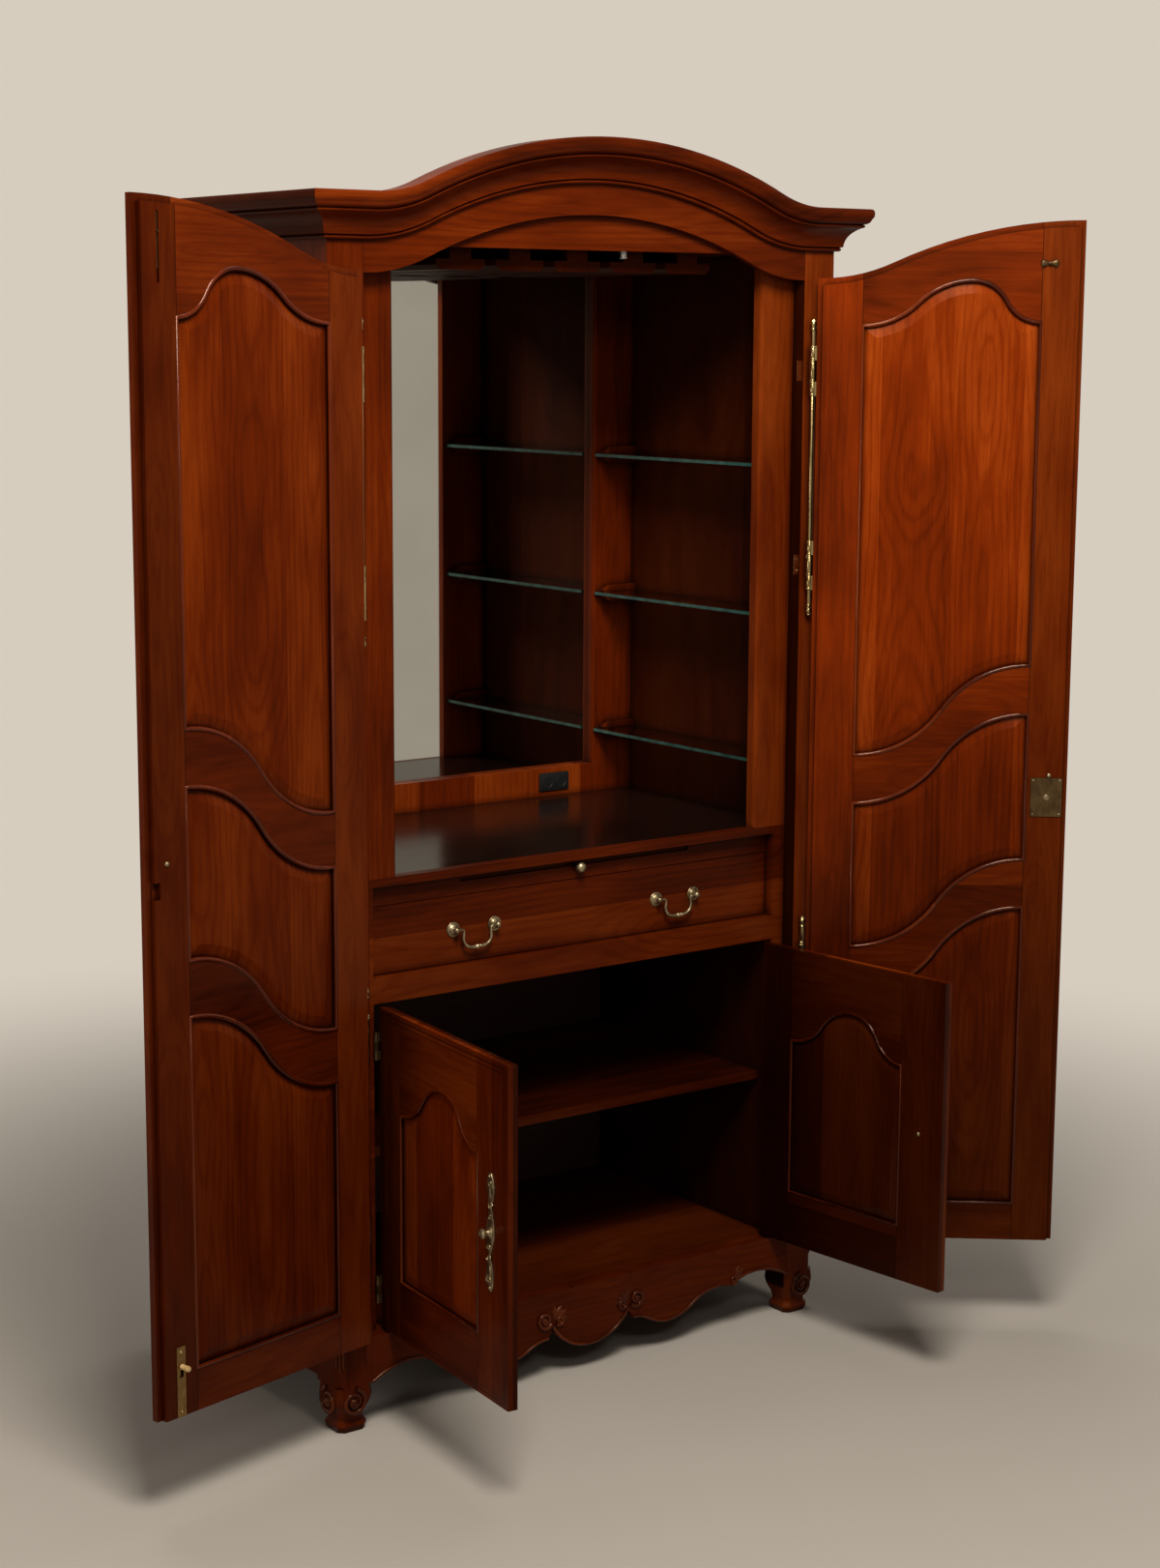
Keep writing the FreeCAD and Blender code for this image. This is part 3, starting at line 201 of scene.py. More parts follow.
def cherryColour(finish, grain, figure):
    lines = grain["rings"] * (figureShare["rings"] * figure)
    value = (grain["streaks"] - 0.5) * figureShare["streaks"] + grain["clouds"] - lines
    tone = finish.ramp(value, [(at, cherryTones[key]) for at, key in toneStops])
    dark = finish.clamped((pore["from"] - grain["pores"]) * pore["rise"])
    return finish.between(dark * pore["share"], tone, (*cherryTones["pore"], 1))


paintedFloorShade = {"low": 0.15, "high": 1.70, "shade": 0.56}     # painted shade darkens the wood towards the floor
corner = {"reach": 0.022, "open": 0.86, "rise": 1.9}     # and painted shade, found by ambient occlusion, darkens the corners


# paints shade on a colour: towards the floor, and in corners found by ambient occlusion
def withPaintedShade(finish, colour, strength):
    height = finish.parts(finish.place)[2]
    # painted shade: full towards the floor, none higher up
    litShare = finish.share(height, paintedFloorShade["low"], paintedFloorShade["high"], "SMOOTHSTEP")
    colour = finish.between(litShare, finish.shaded(colour, paintedFloorShade["shade"]), colour)
    openness = finish.node("ShaderNodeAmbientOcclusion", {"samples": 8}, {"Distance": corner["reach"]}, 1)
    # share of painted shade in the corners
    closed = finish.clamped((corner["open"] - openness) * corner["rise"])
    return finish.between(closed * strength, colour, (*cherryTones["corner"], 1))


# corners sets how strong the painted corner shade is
lacquer = {"coat": 0.02, "haze": 0.14, "shine": 0.09, "tint": (1, 0.50, 0.25, 1), "relief": 0.10, "depth": 0.0006,
           "gloss": 0.22, "smudge": 9, "wear": 0.12, "streaks": 0.06, "corners": 0.85}
frameLacquer = {**lacquer, "gloss": 0.21, "smudge": 7, "wear": 0.14}
panelLacquer = {**frameLacquer, "coat": 0.01, "haze": 0.12, "shine": 0.06, "relief": 0.08, "depth": 0.0005, "smudge": 8}


def lacquered(finish, layer, colour, height, streaks=None):
    roughness = layer["gloss"] + finish.noise(finish.place, layer["smudge"], 3) * layer["wear"]
    if streaks is not None:
        roughness = roughness + streaks * layer["streaks"]
    finish.set(Base_Color=withPaintedShade(finish, colour, layer["corners"]), Roughness=roughness,
               Coat_Weight=layer["coat"], Coat_Roughness=layer["haze"], Specular_IOR_Level=layer["shine"],
               Specular_Tint=layer["tint"], Normal=finish.bump(height, layer["relief"], layer["depth"]))
    return finish.material


cheek = {"half": 0.4756, "shade": 0.13}     # a post's cheek beside the door opening gets painted shade, almost black


def cherry(name, grain, seed, figure=1.0, shade=1.0, paintedCheekShade=False, **layer):
    finish = Finish(name)
    fields = grainFields(finish, finish.place, grain, seed)
    colour = finish.shaded(cherryColour(finish, fields, figure), shade)
    # painted shade on the cheek beside the opening
    if paintedCheekShade:
        away = finish.maths("ABSOLUTE", finish.parts(finish.place)[0])
        colour = finish.between(away < cheek["half"], colour, finish.shaded(colour, cheek["shade"]))
    return lacquered(finish, {**lacquer, **layer}, colour, fields["pores"] + fields["streaks"], fields["streaks"])


# a framed door: upright grain in the stiles, cross grain in the rails, a dark joint between them
tallDoor = {"hinge": (0.489, -0.3008), "leftOpen": 167, "rightOpen": 140.5, "stileHinge": 0.089, "stileFree": 0.411,
            "joint": 0.0007, "middle": -0.2915}
smallDoor = {"hinge": (0.44625, -0.264), "leftOpen": 95.2, "rightOpen": 96.5, "stileHinge": 0.075, "stileFree": 0.345,
             "joint": 0.0006, "middle": -0.249, "faces": (-0.2572, -0.2408),
             "edges": (0.00175, 0.44525, 0.171, 0.747), "lip": ((0.0085, 0.0011), (0.0165, 0.0008))}

# painted light and shade on a door's faces: on the inner one by its pieces near the top, and all over near its foot
paintedDoorLight = {
    "leftTall": {"outer": 1.0, "hinge": 0.80, "free": 0.55, "rails": 0.90, "panels": 1.0, "low": 0.95},
    "rightTall": {"outer": 1.0, "hinge": 2.2, "free": 0.95, "rails": 1.5, "panels": 1.85, "low": 0.60},
    "small": {"outer": 1.05, "hinge": 0.40, "free": 0.40, "rails": 0.40, "low": 0.40, "field": 1.7, "shadow": 0.45},
}
joints = {"dark": 0.8, "depth": 4}
doorLightReach = {"low": 0.4, "high": 1.35, "near": 0.02, "far": 0.19}     # heights, and distances from the hinge


def openAngle(side, door):
    return side * math.radians(door["leftOpen"] if side < 0 else door["rightOpen"])


def hingePlace(side, door):
    return Vector((side * door["hinge"][0], door["hinge"][1], 0))


def closedPlace(finish, side, door):
    angle = -openAngle(side, door)
    hinge = hingePlace(side, door)
    shift = hinge - Matrix.Rotation(angle, 3, "Z") @ hinge
    return finish.node("ShaderNodeMapping", {}, {"Vector": finish.place, "Location": tuple(shift),
                                                 "Rotation": (0, 0, angle)})


# painted light and shade: the inner face darker towards the foot, the outer face at one tone
def withDoorLight(finish, colour, inner, top, paintedTones):
    height = finish.share(finish.parts(finish.place)[2], doorLightReach["low"], doorLightReach["high"])
    inside = finish.between(height, finish.shaded(colour, paintedTones["low"]), top)
    return finish.between(inner, finish.shaded(colour, paintedTones["outer"]), inside)


# two fine grooves run round the outer face of a door with a moulded lip, as lines of painted shade
def lipGrooves(finish, door, out, z):
    near, far, low, high = door["edges"]
    rim = finish.maths("MINIMUM", finish.maths("MINIMUM", out - near, far - out),
                       finish.maths("MINIMUM", z - low, high - z))
    first, second = [(rim > at - half) * (rim < at + half) for at, half in door["lip"]]
    return first + second


def framedDoor(name, side, door, seed, paintedTones):
    finish = Finish(name)
    place = closedPlace(finish, side, door)
    x, y, z = finish.parts(place)
    out = door["hinge"][0] - x * side     # distance from the hinge
    inner, outer = y > door["middle"], y < door["middle"]
    inField = (out > door["stileHinge"]) * (out < door["stileFree"])
    rails = inField
    if "faces" in door:     # the panel lies below both faces and has upright grain
        rails = inField * ((y < door["faces"][0]) + (y > door["faces"][1]))

    uprightGrain = grainFields(finish, place, "z", seed)
    acrossGrain = grainFields(finish, place, "x", seed + 1.7)
    upright, across = cherryColour(finish, uprightGrain, 0.8), cherryColour(finish, acrossGrain, 0.9)
    # painted light across the stiles, from the hinge side to the free side
    stiles = finish.between(finish.share(out, 0, door["stileFree"]), finish.shaded(upright, paintedTones["hinge"]),
                            finish.shaded(upright, paintedTones["free"]))
    upright = withDoorLight(finish, upright, inner, stiles, paintedTones)
    across = withDoorLight(finish, across, inner, finish.shaded(across, paintedTones["rails"]), paintedTones)
    colour = finish.between(rails, upright, across)
    if "field" in paintedTones:     # painted light on the field of the outer face, and painted shadow beside the hinges
        colour = finish.between((inField - rails) * outer, colour, finish.shaded(colour, paintedTones["field"]))
        clear = finish.share(out, doorLightReach["near"], doorLightReach["far"], "SMOOTHSTEP")
        colour = finish.between(clear, finish.shaded(colour, paintedTones["shadow"]), colour)

    edges = [finish.maths("ABSOLUTE", out - door[key]) for key in ("stileHinge", "stileFree")]
    joint = (edges[0] < door["joint"]) + (edges[1] < door["joint"])
    if "lip" in door:
        joint = joint + lipGrooves(finish, door, out, z) * outer
    colour = finish.between(joint * joints["dark"], colour, (*cherryTones["joint"], 1))
    relief = uprightGrain["pores"] * (1 - rails) + acrossGrain["pores"] * rails - joint * joints["depth"]
    return lacquered(finish, frameLacquer, colour, relief)


def doorPanels(name, side, door, seed, paintedTones):
    finish = Finish(name)
    place = closedPlace(finish, side, door)
    grain = grainFields(finish, place, "z", seed)
    colour = cherryColour(finish, grain, 1.2)
    inner = finish.parts(place)[1] > door["middle"]
    # painted light and shade on the panels
    colour = withDoorLight(finish, colour, inner, finish.shaded(colour, paintedTones["panels"]), paintedTones)
    return lacquered(finish, panelLacquer, colour, grain["pores"] + grain["streaks"])


# brass: clouds and spots of tarnish give the tone, the clouds the roughness and the spots the relief
def brass(name, cloud, spot, mix, stops, metallic, rough, relief):
    finish = Finish(name)
    clouds, spots = finish.noise(finish.place, *cloud), finish.noise(finish.place, *spot)
    tone = finish.ramp(clouds * mix + spots * (1 - mix), stops)
    finish.set(Base_Color=tone, Metallic=metallic, Roughness=rough[0] + clouds * rough[1],
               Normal=finish.bump(spots, *relief))
    return finish.material


def rubbedBrass(name, dark, bright):
    finish = Finish(name)
    cloud = finish.noise(finish.place, 45, 4)
    rubbed = finish.noise(finish.stretched(finish.place, (300, 300, 60)), 1, 2)
    tone = finish.ramp(cloud * 0.6 + rubbed * 0.4, [(0.3, dark), (0.7, bright)])
    finish.set(Base_Color=tone, Metallic=0.9, Roughness=0.34 + rubbed * 0.18, Normal=finish.bump(rubbed, 0.05, 0.0003))
    return finish.material


# plain stuffs: one field gives the tone, the roughness and the relief
def plainStuff(name, scales, detail, metallic, stops, rough, relief=(0, 0)):
    finish = Finish(name)
    field = finish.noise(finish.stretched(finish.place, scales), 1, detail)
    finish.set(Base_Color=finish.ramp(field, stops), Metallic=metallic, Roughness=rough[0] + field * rough[1])
    if any(relief):
        finish.set(Normal=finish.bump(field, *relief))
    return finish.material


def blackTop():
    finish = Finish("blackLacquerTop")
    grain = grainFields(finish, finish.place, "x", 3.1)
    streaks, clouds = grain["streaks"], grain["clouds"]
    tone = finish.ramp(streaks * 0.7 + clouds * 0.3, [(0.2, (0.004, 0.0018, 0.0013)), (0.8, (0.022, 0.008, 0.005))])
    finish.set(Base_Color=tone, Roughness=0.13 + clouds * 0.08, Specular_IOR_Level=0.30,
               Normal=finish.bump(streaks, 0.02, 0.0001))
    return finish.material


# clear through its faces and green along its edges
def shelfGlass():
    finish = Finish("shelfGlass")
    dust = finish.noise(finish.place, 40, 3)
    tone = finish.ramp(dust, [(0.3, (0.72, 0.90, 0.83)), (0.7, (0.82, 0.95, 0.90))])
    finish.set(Base_Color=tone, Roughness=0.01 + dust * 0.03, Transmission_Weight=1.0, IOR=1.5)
    green = finish.ramp(dust, [(0.3, (0.012, 0.050, 0.042)), (0.7, (0.040, 0.120, 0.100))])
    edge = finish.node("ShaderNodeBsdfPrincipled", {}, {"Base Color": green, "Roughness": 0.12})
    upright = finish.parts(finish.node("ShaderNodeTexCoord", {}, {}, "Normal"))[2]
    finish.blend((upright < 0.5) * (upright > -0.5), edge)
    return finish.material


boardSides = {"back": 0.285, "roof": 2.09}     # nearer than these, a board faces the inside: it is stained, and painted shade darkens it further


def plainBoard():
    finish = Finish("plainBoard")
    grain = grainFields(finish, finish.place, "x", 5.0)
    value = grain["streaks"] * 0.6 + grain["clouds"] * 0.4
    bare = finish.ramp(value, [(0.25, (0.100, 0.036, 0.011)), (0.75, (0.210, 0.086, 0.031))])
    # the stained inside, darkened with painted shade
    dark = finish.ramp(value, [(0.25, (0.030, 0.008, 0.003)), (0.75, (0.075, 0.018, 0.006))])
    y, z = finish.parts(finish.place)[1:]
    tone = finish.between((y < boardSides["back"]) * (z < boardSides["roof"]), bare, dark)
    finish.set(Base_Color=tone, Roughness=0.62 + grain["pores"] * 0.2,
               Normal=finish.bump(grain["pores"], 0.15, 0.0006))
    return finish.material


finishes = {
    "upright": cherry("cherryUpright", "z", 0.0),
    "across": cherry("cherryAcross", "x", 2.3, figure=1.1),
    # darker copies of the cherry: painted shade on the crown returns, the inside and the rack
    "deep": cherry("cherryDeepPaintedShade", "y", 4.1, shade=0.36, shine=0.03),
    "inner": cherry("cherryPaintedShadeInside", "z", 6.2, figure=0.8, gloss=0.66, shade=0.30, coat=0.0),
    "innerAcross": cherry("cherryPaintedShadeInsideAcross", "x", 7.4, figure=0.8, gloss=0.34, shade=0.55, coat=0.0),
    "rack": cherry("cherryRackPaintedShade", "y", 8.8, figure=0.8, gloss=0.40, shade=0.40, coat=0.0),
    "panelLeft": doorPanels("cherryPanelLeft", -1, tallDoor, 9.3, paintedDoorLight["leftTall"]),
    "panelRight": doorPanels("cherryPanelRight", 1, tallDoor, 11.9, paintedDoorLight["rightTall"]),
    "leftTall": framedDoor("cherryLeftTallFrame", -1, tallDoor, 13.0, paintedDoorLight["leftTall"]),
    "rightTall": framedDoor("cherryRightTallFrame", 1, tallDoor, 17.0, paintedDoorLight["rightTall"]),
    "leftSmall": framedDoor("cherryLeftSmallFrame", -1, smallDoor, 21.0, paintedDoorLight["small"]),
    "rightSmall": framedDoor("cherryRightSmallFrame", 1, smallDoor, 25.0, paintedDoorLight["small"]),
    "brass": brass("polishedBrass", (22, 4), (240, 2), 0.85,
                   [(0.30, (0.28, 0.180, 0.068)), (0.55, (0.50, 0.37, 0.165)), (0.8, (0.64, 0.51, 0.27))],
                   1.0, (0.15, 0.18), (0.02, 0.0003)),
    "oldBrass": brass("antiqueBrass", (60, 4, 0.6), (420, 2), 0.65,
                      [(0.30, (0.085, 0.060, 0.030)), (0.50, (0.32, 0.245, 0.135)), (0.75, (0.58, 0.49, 0.33))],
                      0.95, (0.24, 0.30), (0.08, 0.0005)),
    "lockBrass": rubbedBrass("lockBrass", (0.050, 0.028, 0.010), (0.150, 0.090, 0.036)),
    "wornBrass": rubbedBrass("wornBrass", (0.130, 0.070, 0.020), (0.330, 0.200, 0.070)),
    "ivory": plainStuff("ivoryKnob", (120, 120, 120), 3, 0.0, [(0.3, (0.50, 0.30, 0.105)), (0.7, (0.72, 0.49, 0.22))],
                        (0.22, 0.15), (0.05, 0.0003)),
    "post": cherry("cherryPostPaintedCheekShade", "z", 0.0, paintedCheekShade=True),
    # a lighter copy of the cherry on the mirror frame: painted light
    "mirrorPostPaintedLight": cherry("cherryMirrorPostPaintedLight", "z", 1.4, shade=1.6),
    "bead": cherry("cherryBead", "z", 28.0, figure=0.6, gloss=0.08, shade=0.95, corners=0.20, coat=0.32, shine=0.20),
    "carving": cherry("cherryCarving", "z", 31.0, figure=0.6, gloss=0.16, shade=0.85, coat=0.10, shine=0.24),
    "top": blackTop(),
    "mirror": plainStuff("silverMirror", (6, 6, 6), 3, 1.0, [(0.2, (0.66, 0.65, 0.59)), (0.8, (0.74, 0.73, 0.67))],
                         (0.012, 0.02)),
    "glass": shelfGlass(),
    "plastic": plainStuff("blackPlastic", (900, 900, 900), 2, 0.0,
                          [(0.3, (0.006, 0.006, 0.006)), (0.7, (0.015, 0.014, 0.013))], (0.42, 0.15), (0.15, 0.0003)),
    "metal": plainStuff("satinMetal", (900, 900, 60), 2, 1.0, [(0.3, (0.36, 0.34, 0.31)), (0.7, (0.60, 0.58, 0.54))],
                        (0.22, 0.2)),
    "board": plainBoard(),
}

nodeFinishes = {
    "upright": ["rear_posts", "left_side", "right_side", "upper_stiles", "shelf_holders"],
    "post": ["left_front_post", "right_front_post"],
    "mirrorPostPaintedLight": ["mirror_frame"],
    "across": ["frieze_board", "crown_front", "apron", "arch_valance", "drawer_frame", "drawer_front"],
    "deep": ["crown_returns"],
    "rack": ["stemware_rack"],
    "inner": ["left_inner_side", "right_inner_side", "lower_liners"],
    "innerAcross": ["bottom_board", "ceiling_board", "dust_board", "slide_runners", "drawer_box", "serving_tray",
                    "lower_shelf"],
    "panelLeft": ["left_door_panels"],
    "panelRight": ["right_door_panels"],
    "leftTall": ["left_door_frame"],
    "rightTall": ["right_door_frame"],
    "leftSmall": ["left_small_door"],
    "rightSmall": ["right_small_door"],
    "brass": ["post_hinges", "left_door_hinges", "right_door_hinges"],
    "wornBrass": ["bottom_bolt", "bolt_plate"],
    "lockBrass": ["lock_case", "lock_bolt", "top_bolt", "small_hinge_leaves", "left_small_hinges",
                  "right_small_hinges"],
    "oldBrass": ["left_door_pull", "right_door_pull", "left_small_pull", "right_small_pull", "drawer_roses",
                 "left_bail", "right_bail", "tray_knob"],
    "top": ["work_surface"],
    "mirror": ["mirror"],
    "glass": ["glass_shelves"],
    "plastic": ["power_outlet"],
    "metal": ["interior_lamp", "shelf_pins"],
    "board": ["back_panel", "roof_board"],
}

for finishName, names in nodeFinishes.items():
    for name in names:
        slots = nodes[name].data.materials
        slots.clear()
        slots.append(finishes[finishName])
print("finishes on the cabinet")


# modelling: places are written in millimetres from the middle of the case, depth from the front plane
frontPlane = -290


def spot(x, y, z):
    return Vector((x, y + frontPlane, z)) / 1000


def objectMode():
    bpy.ops.object.mode_set(mode="OBJECT")


def editMode():
    bpy.ops.object.mode_set(mode="EDIT")


def chooseAll():
    bpy.ops.mesh.select_all(action="SELECT")


def applied():
    bpy.ops.object.transform_apply(location=True, rotation=True, scale=True)


def clearSelection():
    if bpy.context.object and bpy.context.object.mode != "OBJECT":
        objectMode()
    bpy.ops.object.select_all(action="DESELECT")


def choose(*objects):
    clearSelection()
    for chosen in objects:
        chosen.select_set(True)
    bpy.context.view_layer.objects.active = objects[0]


def editAll():
    editMode()
    chooseAll()


def closeUp(piece):
    choose(piece)
    editAll()
    bpy.ops.mesh.remove_doubles(threshold=0.00001)
    bpy.ops.mesh.normals_make_consistent(inside=False)
    objectMode()
    return piece


# pulls the selected part of a mesh out by a distance in millimetres
def pulled(x, y, z):
    bpy.ops.mesh.extrude_region_move(TRANSFORM_OT_translate={"value": Vector((x, y, z)) / 1000})


def joined(name, pieces):
    choose(*pieces)
    if len(pieces) > 1:
        bpy.ops.object.join()
    piece = bpy.context.object
    piece.name = name
    return piece


# a copy with its own mesh, moved by a distance in millimetres
def copied(piece, move):
    choose(piece)
    bpy.ops.object.duplicate(linked=False)
    bpy.ops.transform.translate(value=Vector(move) / 1000)
    applied()
    return bpy.context.object


def repeated(piece, moves):
    return [piece] + [copied(piece, move) for move in moves]


def mirroredX(piece):
    choose(piece)
    bpy.ops.object.duplicate(linked=False)
    bpy.ops.transform.resize(value=(-1, 1, 1), center_override=(0, 0, 0))
    applied()
    return closeUp(bpy.context.object)


# rings pulled out of a circle, as on a lathe: (radius, distance along the axis)
def turned(name, profile, place, direction, sides=28):
    clearSelection()
    axis = Vector(direction).normalized()
    middle = Vector(place)
    start = middle + axis * profile[0][1] / 1000
    bpy.ops.mesh.primitive_circle_add(vertices=sides, radius=profile[0][0] / 1000, fill_type="NGON", location=start,
                                      rotation=axis.to_track_quat("Z", "Y").to_euler())
    piece = bpy.context.object
    piece.name = name
    applied()
    editAll()
    for (wide, low), (nextWide, high) in zip(profile, profile[1:]):
        pulled(*axis * (high - low))
        bpy.ops.transform.resize(value=(nextWide / wide,) * 3, center_override=middle + axis * high / 1000)
    chooseAll()
    bpy.ops.mesh.normals_make_consistent(inside=False)
    objectMode()
    return piece


def flattened(piece, place, squeeze):
    choose(piece)
    editAll()
    bpy.ops.transform.resize(value=squeeze, center_override=place)
    objectMode()
    return piece


# a bent rod that swells and thins: places with a thickness each
def bentRod(name, places, radii, smooth=8):
    clearSelection()
    curve = bpy.data.curves.new(name, "CURVE")
    curve.dimensions = "3D"
    curve.bevel_depth = 0.001
    curve.bevel_resolution = 3
    curve.resolution_u = smooth
    curve.use_fill_caps = True
    spline = curve.splines.new("NURBS")
    spline.points.add(len(places) - 1)
    for point, place, radius in zip(spline.points, places, radii):
        point.co = (*place, 1)
        point.radius = radius
    spline.order_u = 4
    spline.use_endpoint_u = True
    piece = bpy.data.objects.new(name, curve)
    bpy.context.scene.collection.objects.link(piece)
    choose(piece)
    bpy.ops.object.convert(target="MESH")
    return closeUp(bpy.context.object)


# a scroll that winds in on itself, drawn on the plane of two directions
winding = {"steps": 12, "close": 0.86}


def scroll(name, middle, across, up, size, start, turns, thick, thin):
    places, radii = [], []
    across, up = Vector(across), Vector(up)
    steps = int(abs(turns) * winding["steps"])
    for i in range(steps + 1):
        share = i / steps
        angle = math.radians(start) + turns * 2 * math.pi * share
        reach = size * (1 - winding["close"] * share) / 1000
        places.append(middle + across * (reach * math.cos(angle)) + up * (reach * math.sin(angle)))
        radii.append(thick + (thin - thick) * share)
    return bentRod(name, places, radii, 4)


# an outline is one vertex pulled along from corner to corner, then filled
def outlined(name, places):
    clearSelection()
    bpy.ops.mesh.primitive_plane_add(size=0.001, location=(0, 0, 0))
    piece = bpy.context.object
    piece.name = name
    editAll()
    bpy.ops.mesh.merge(type="CENTER")
    bpy.ops.transform.translate(value=places[0])
    for start, end in zip(places, places[1:]):
        bpy.ops.mesh.extrude_region_move(TRANSFORM_OT_translate={"value": end - start})
    chooseAll()
    bpy.ops.mesh.edge_face_add()
    return piece


def softened(piece, width, steps=2, angle=40):
    choose(piece)
    bevel = piece.modifiers.new("softEdges", "BEVEL")
    bevel.width = width / 1000
    bevel.segments = steps
    bevel.limit_method = "ANGLE"
    bevel.angle_limit = math.radians(angle)
    bpy.ops.object.modifier_apply(modifier=bevel.name)
    return piece


def settle(piece, body, finish, angle=38):
    choose(piece)
    bpy.ops.object.shade_smooth_by_angle(angle=math.radians(angle))
    applied()
    piece.data.materials.clear()
    piece.data.materials.append(finishes[finish])
    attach(piece, body)
    return piece


# pieces of a door are modelled on the closed left door, then mirrored and swung to where the door stands
def swungOpen(piece, side, door):
    if side > 0:
        mirror = mirroredX(piece)
        bpy.data.objects.remove(piece)
        piece = mirror
    hinge = Matrix.Translation(hingePlace(side, door))
    piece.matrix_world = hinge @ Matrix.Rotation(openAngle(side, door), 4, "Z") @ hinge.inverted()
    choose(piece)
    applied()
    return piece


# crown: one profile pulled along the flat ends and spun round the arcs of the arch
crown = {"foot": 2038, "half": 475, "rise": 104, "turn": 0.27, "corner": 545, "reach": 640, "depth": 580, "steps": 14,
         "spare": 100}


def crownOutline():
    def rounded(middle, wide, tall):
        turns = [math.radians(a) for a in (-75, -45, -15, 15, 45, 75)]
        return [(middle[0] + wide * math.cos(a), middle[1] + tall * math.sin(a)) for a in turns]

    def bent(start, via, end):
        shares = [i / 7 for i in range(8)]
        return [tuple((1 - t) ** 2 * a + 2 * t * (1 - t) * b + t * t * c for a, b, c in zip(start, via, end))
                for t in shares]
    outline = [(0, 0), (6.5, 0)] + rounded((6, 3.2), 3.2, 3.0) + [(8.5, 6.6)]
    outline += bent((12, 8), (13.5, 31), (36, 42)) + rounded((36.5, 45), 3.4, 3.0)
    outline += bent((40, 48.5), (46.5, 50), (48.5, 57)) + rounded((48.3, 67), 4.0, 8.8) + [(46, 76), (0, 76)]
    return outline


def crownFront():
    outline = [spot(-crown["reach"], -out, crown["foot"] + up) for out, up in crownOutline()]
    piece = outlined("crownFront", outline)
    foot, half, rise, turn = [crown[key] for key in ("foot", "half", "rise", "turn")]
    ways = {"low": (half * turn, rise * turn), "high": (half * (1 - turn), rise * (1 - turn))}
    radius = {key: (dx * dx + dz * dz) / (2 * dz) for key, (dx, dz) in ways.items()}
    angle = math.asin(half * turn / radius["low"])
    pulled(crown["reach"] - half, 0, 0)
    bpy.ops.mesh.spin(steps=crown["steps"], angle=angle, center=spot(-half, 0, foot + radius["low"]), axis=(0, 1, 0))
    bpy.ops.mesh.spin(steps=2 * crown["steps"], angle=2 * angle, center=spot(0, 0, foot + rise - radius["high"]),
                      axis=(0, -1, 0))
    bpy.ops.mesh.spin(steps=crown["steps"], angle=angle, center=spot(half, 0, foot + radius["low"]), axis=(0, 1, 0))
    pulled(crown["reach"] - half, 0, 0)
    for side in (-1, 1):
        chooseAll()
        bpy.ops.mesh.bisect(plane_co=spot(side * crown["corner"], 0, foot), plane_no=(side, 1, 0), use_fill=True,
                            clear_outer=True)
    closeUp(piece)
    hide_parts("crown_front")
    return settle(piece, "case", "across", angle=30)


def crownReturns():
    outline = [spot(-crown["corner"] - out, -crown["spare"], crown["foot"] + up) for out, up in crownOutline()]
    piece = outlined("crownReturns", outline)
    pulled(0, crown["depth"] + crown["spare"], 0)
    chooseAll()
    bpy.ops.mesh.bisect(plane_co=spot(-crown["corner"], 0, crown["foot"]), plane_no=(-1, 1, 0), use_fill=True,
                        clear_inner=True)
    left = closeUp(piece)
    piece = joined("crownReturns", [left, mirroredX(left)])
    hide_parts("crown_returns")
    return settle(piece, "case", "deep", angle=30)


crownFront()
crownReturns()
print("crown")

# rod hinges: round sleeves over the knuckles, a round skin on the rod and a turned finial at each of its ends
rods = {"out": 489, "depth": -10.8, "middles": (1643, 525), "length": 544, "spread": 178.5, "caseKnuckle": 38,
        "doorKnuckle": 26, "gap": 0.4, "radius": 6.55, "rod": 4.3, "cheek": (474.2, 476.0), "leaf": (1.5, 15.5),
        "nails": (0.22, 0.78)}


def sleeve(low, high, x):
    wide = rods["radius"]
    profile = [(wide - 0.6, low), (wide, low + 0.8), (wide, low + 3), (wide - 0.35, low + 3.6), (wide, low + 4.2),
               (wide, high - 4.2), (wide - 0.35, high - 3.6), (wide, high - 3), (wide, high - 0.8), (wide - 0.6, high)]
    return turned("sleeve", profile, spot(x, rods["depth"], 0), (0, 0, 1), 24)


def finial(end, way, x):
    profile = [(4.1, -21), (5.6, -20), (5.9, -18.5), (4.6, -17), (4.3, -15), (5.6, -11), (6.1, -8.5), (5.5, -5.5),
               (3.6, -3.2), (3.0, -2.4), (3.4, -1.4), (3.0, -0.4), (1.2, 0.3)]
    return turned("finial", profile, spot(x, rods["depth"], end), (0, 0, way), 24)


def rodSkin(middle, x):
    wide = rods["rod"]
    reach = rods["spread"] - rods["caseKnuckle"] / 2 - rods["gap"] - rods["doorKnuckle"] - 0.2
    profile = [(wide - 0.5, -reach), (wide, -reach + 0.8), (wide, reach - 0.8), (wide - 0.5, reach)]
    return turned("rod", profile, spot(x, rods["depth"], middle), (0, 0, 1), 20)


def oneRod(middle, x):
    near = rods["caseKnuckle"] / 2 + rods["gap"]
    lows = [way * rods["spread"] + shift for way in (-1, 1) for shift in (near, -near - rods["doorKnuckle"])]
    first = sleeve(middle + lows[0], middle + lows[0] + rods["doorKnuckle"], x)
    sleeves = repeated(first, [(0, 0, low - lows[0]) for low in lows[1:]])
    ends = [finial(middle + way * rods["length"] / 2, way, x) for way in (-1, 1)]
    return joined("rod", [rodSkin(middle, x)] + sleeves + ends)


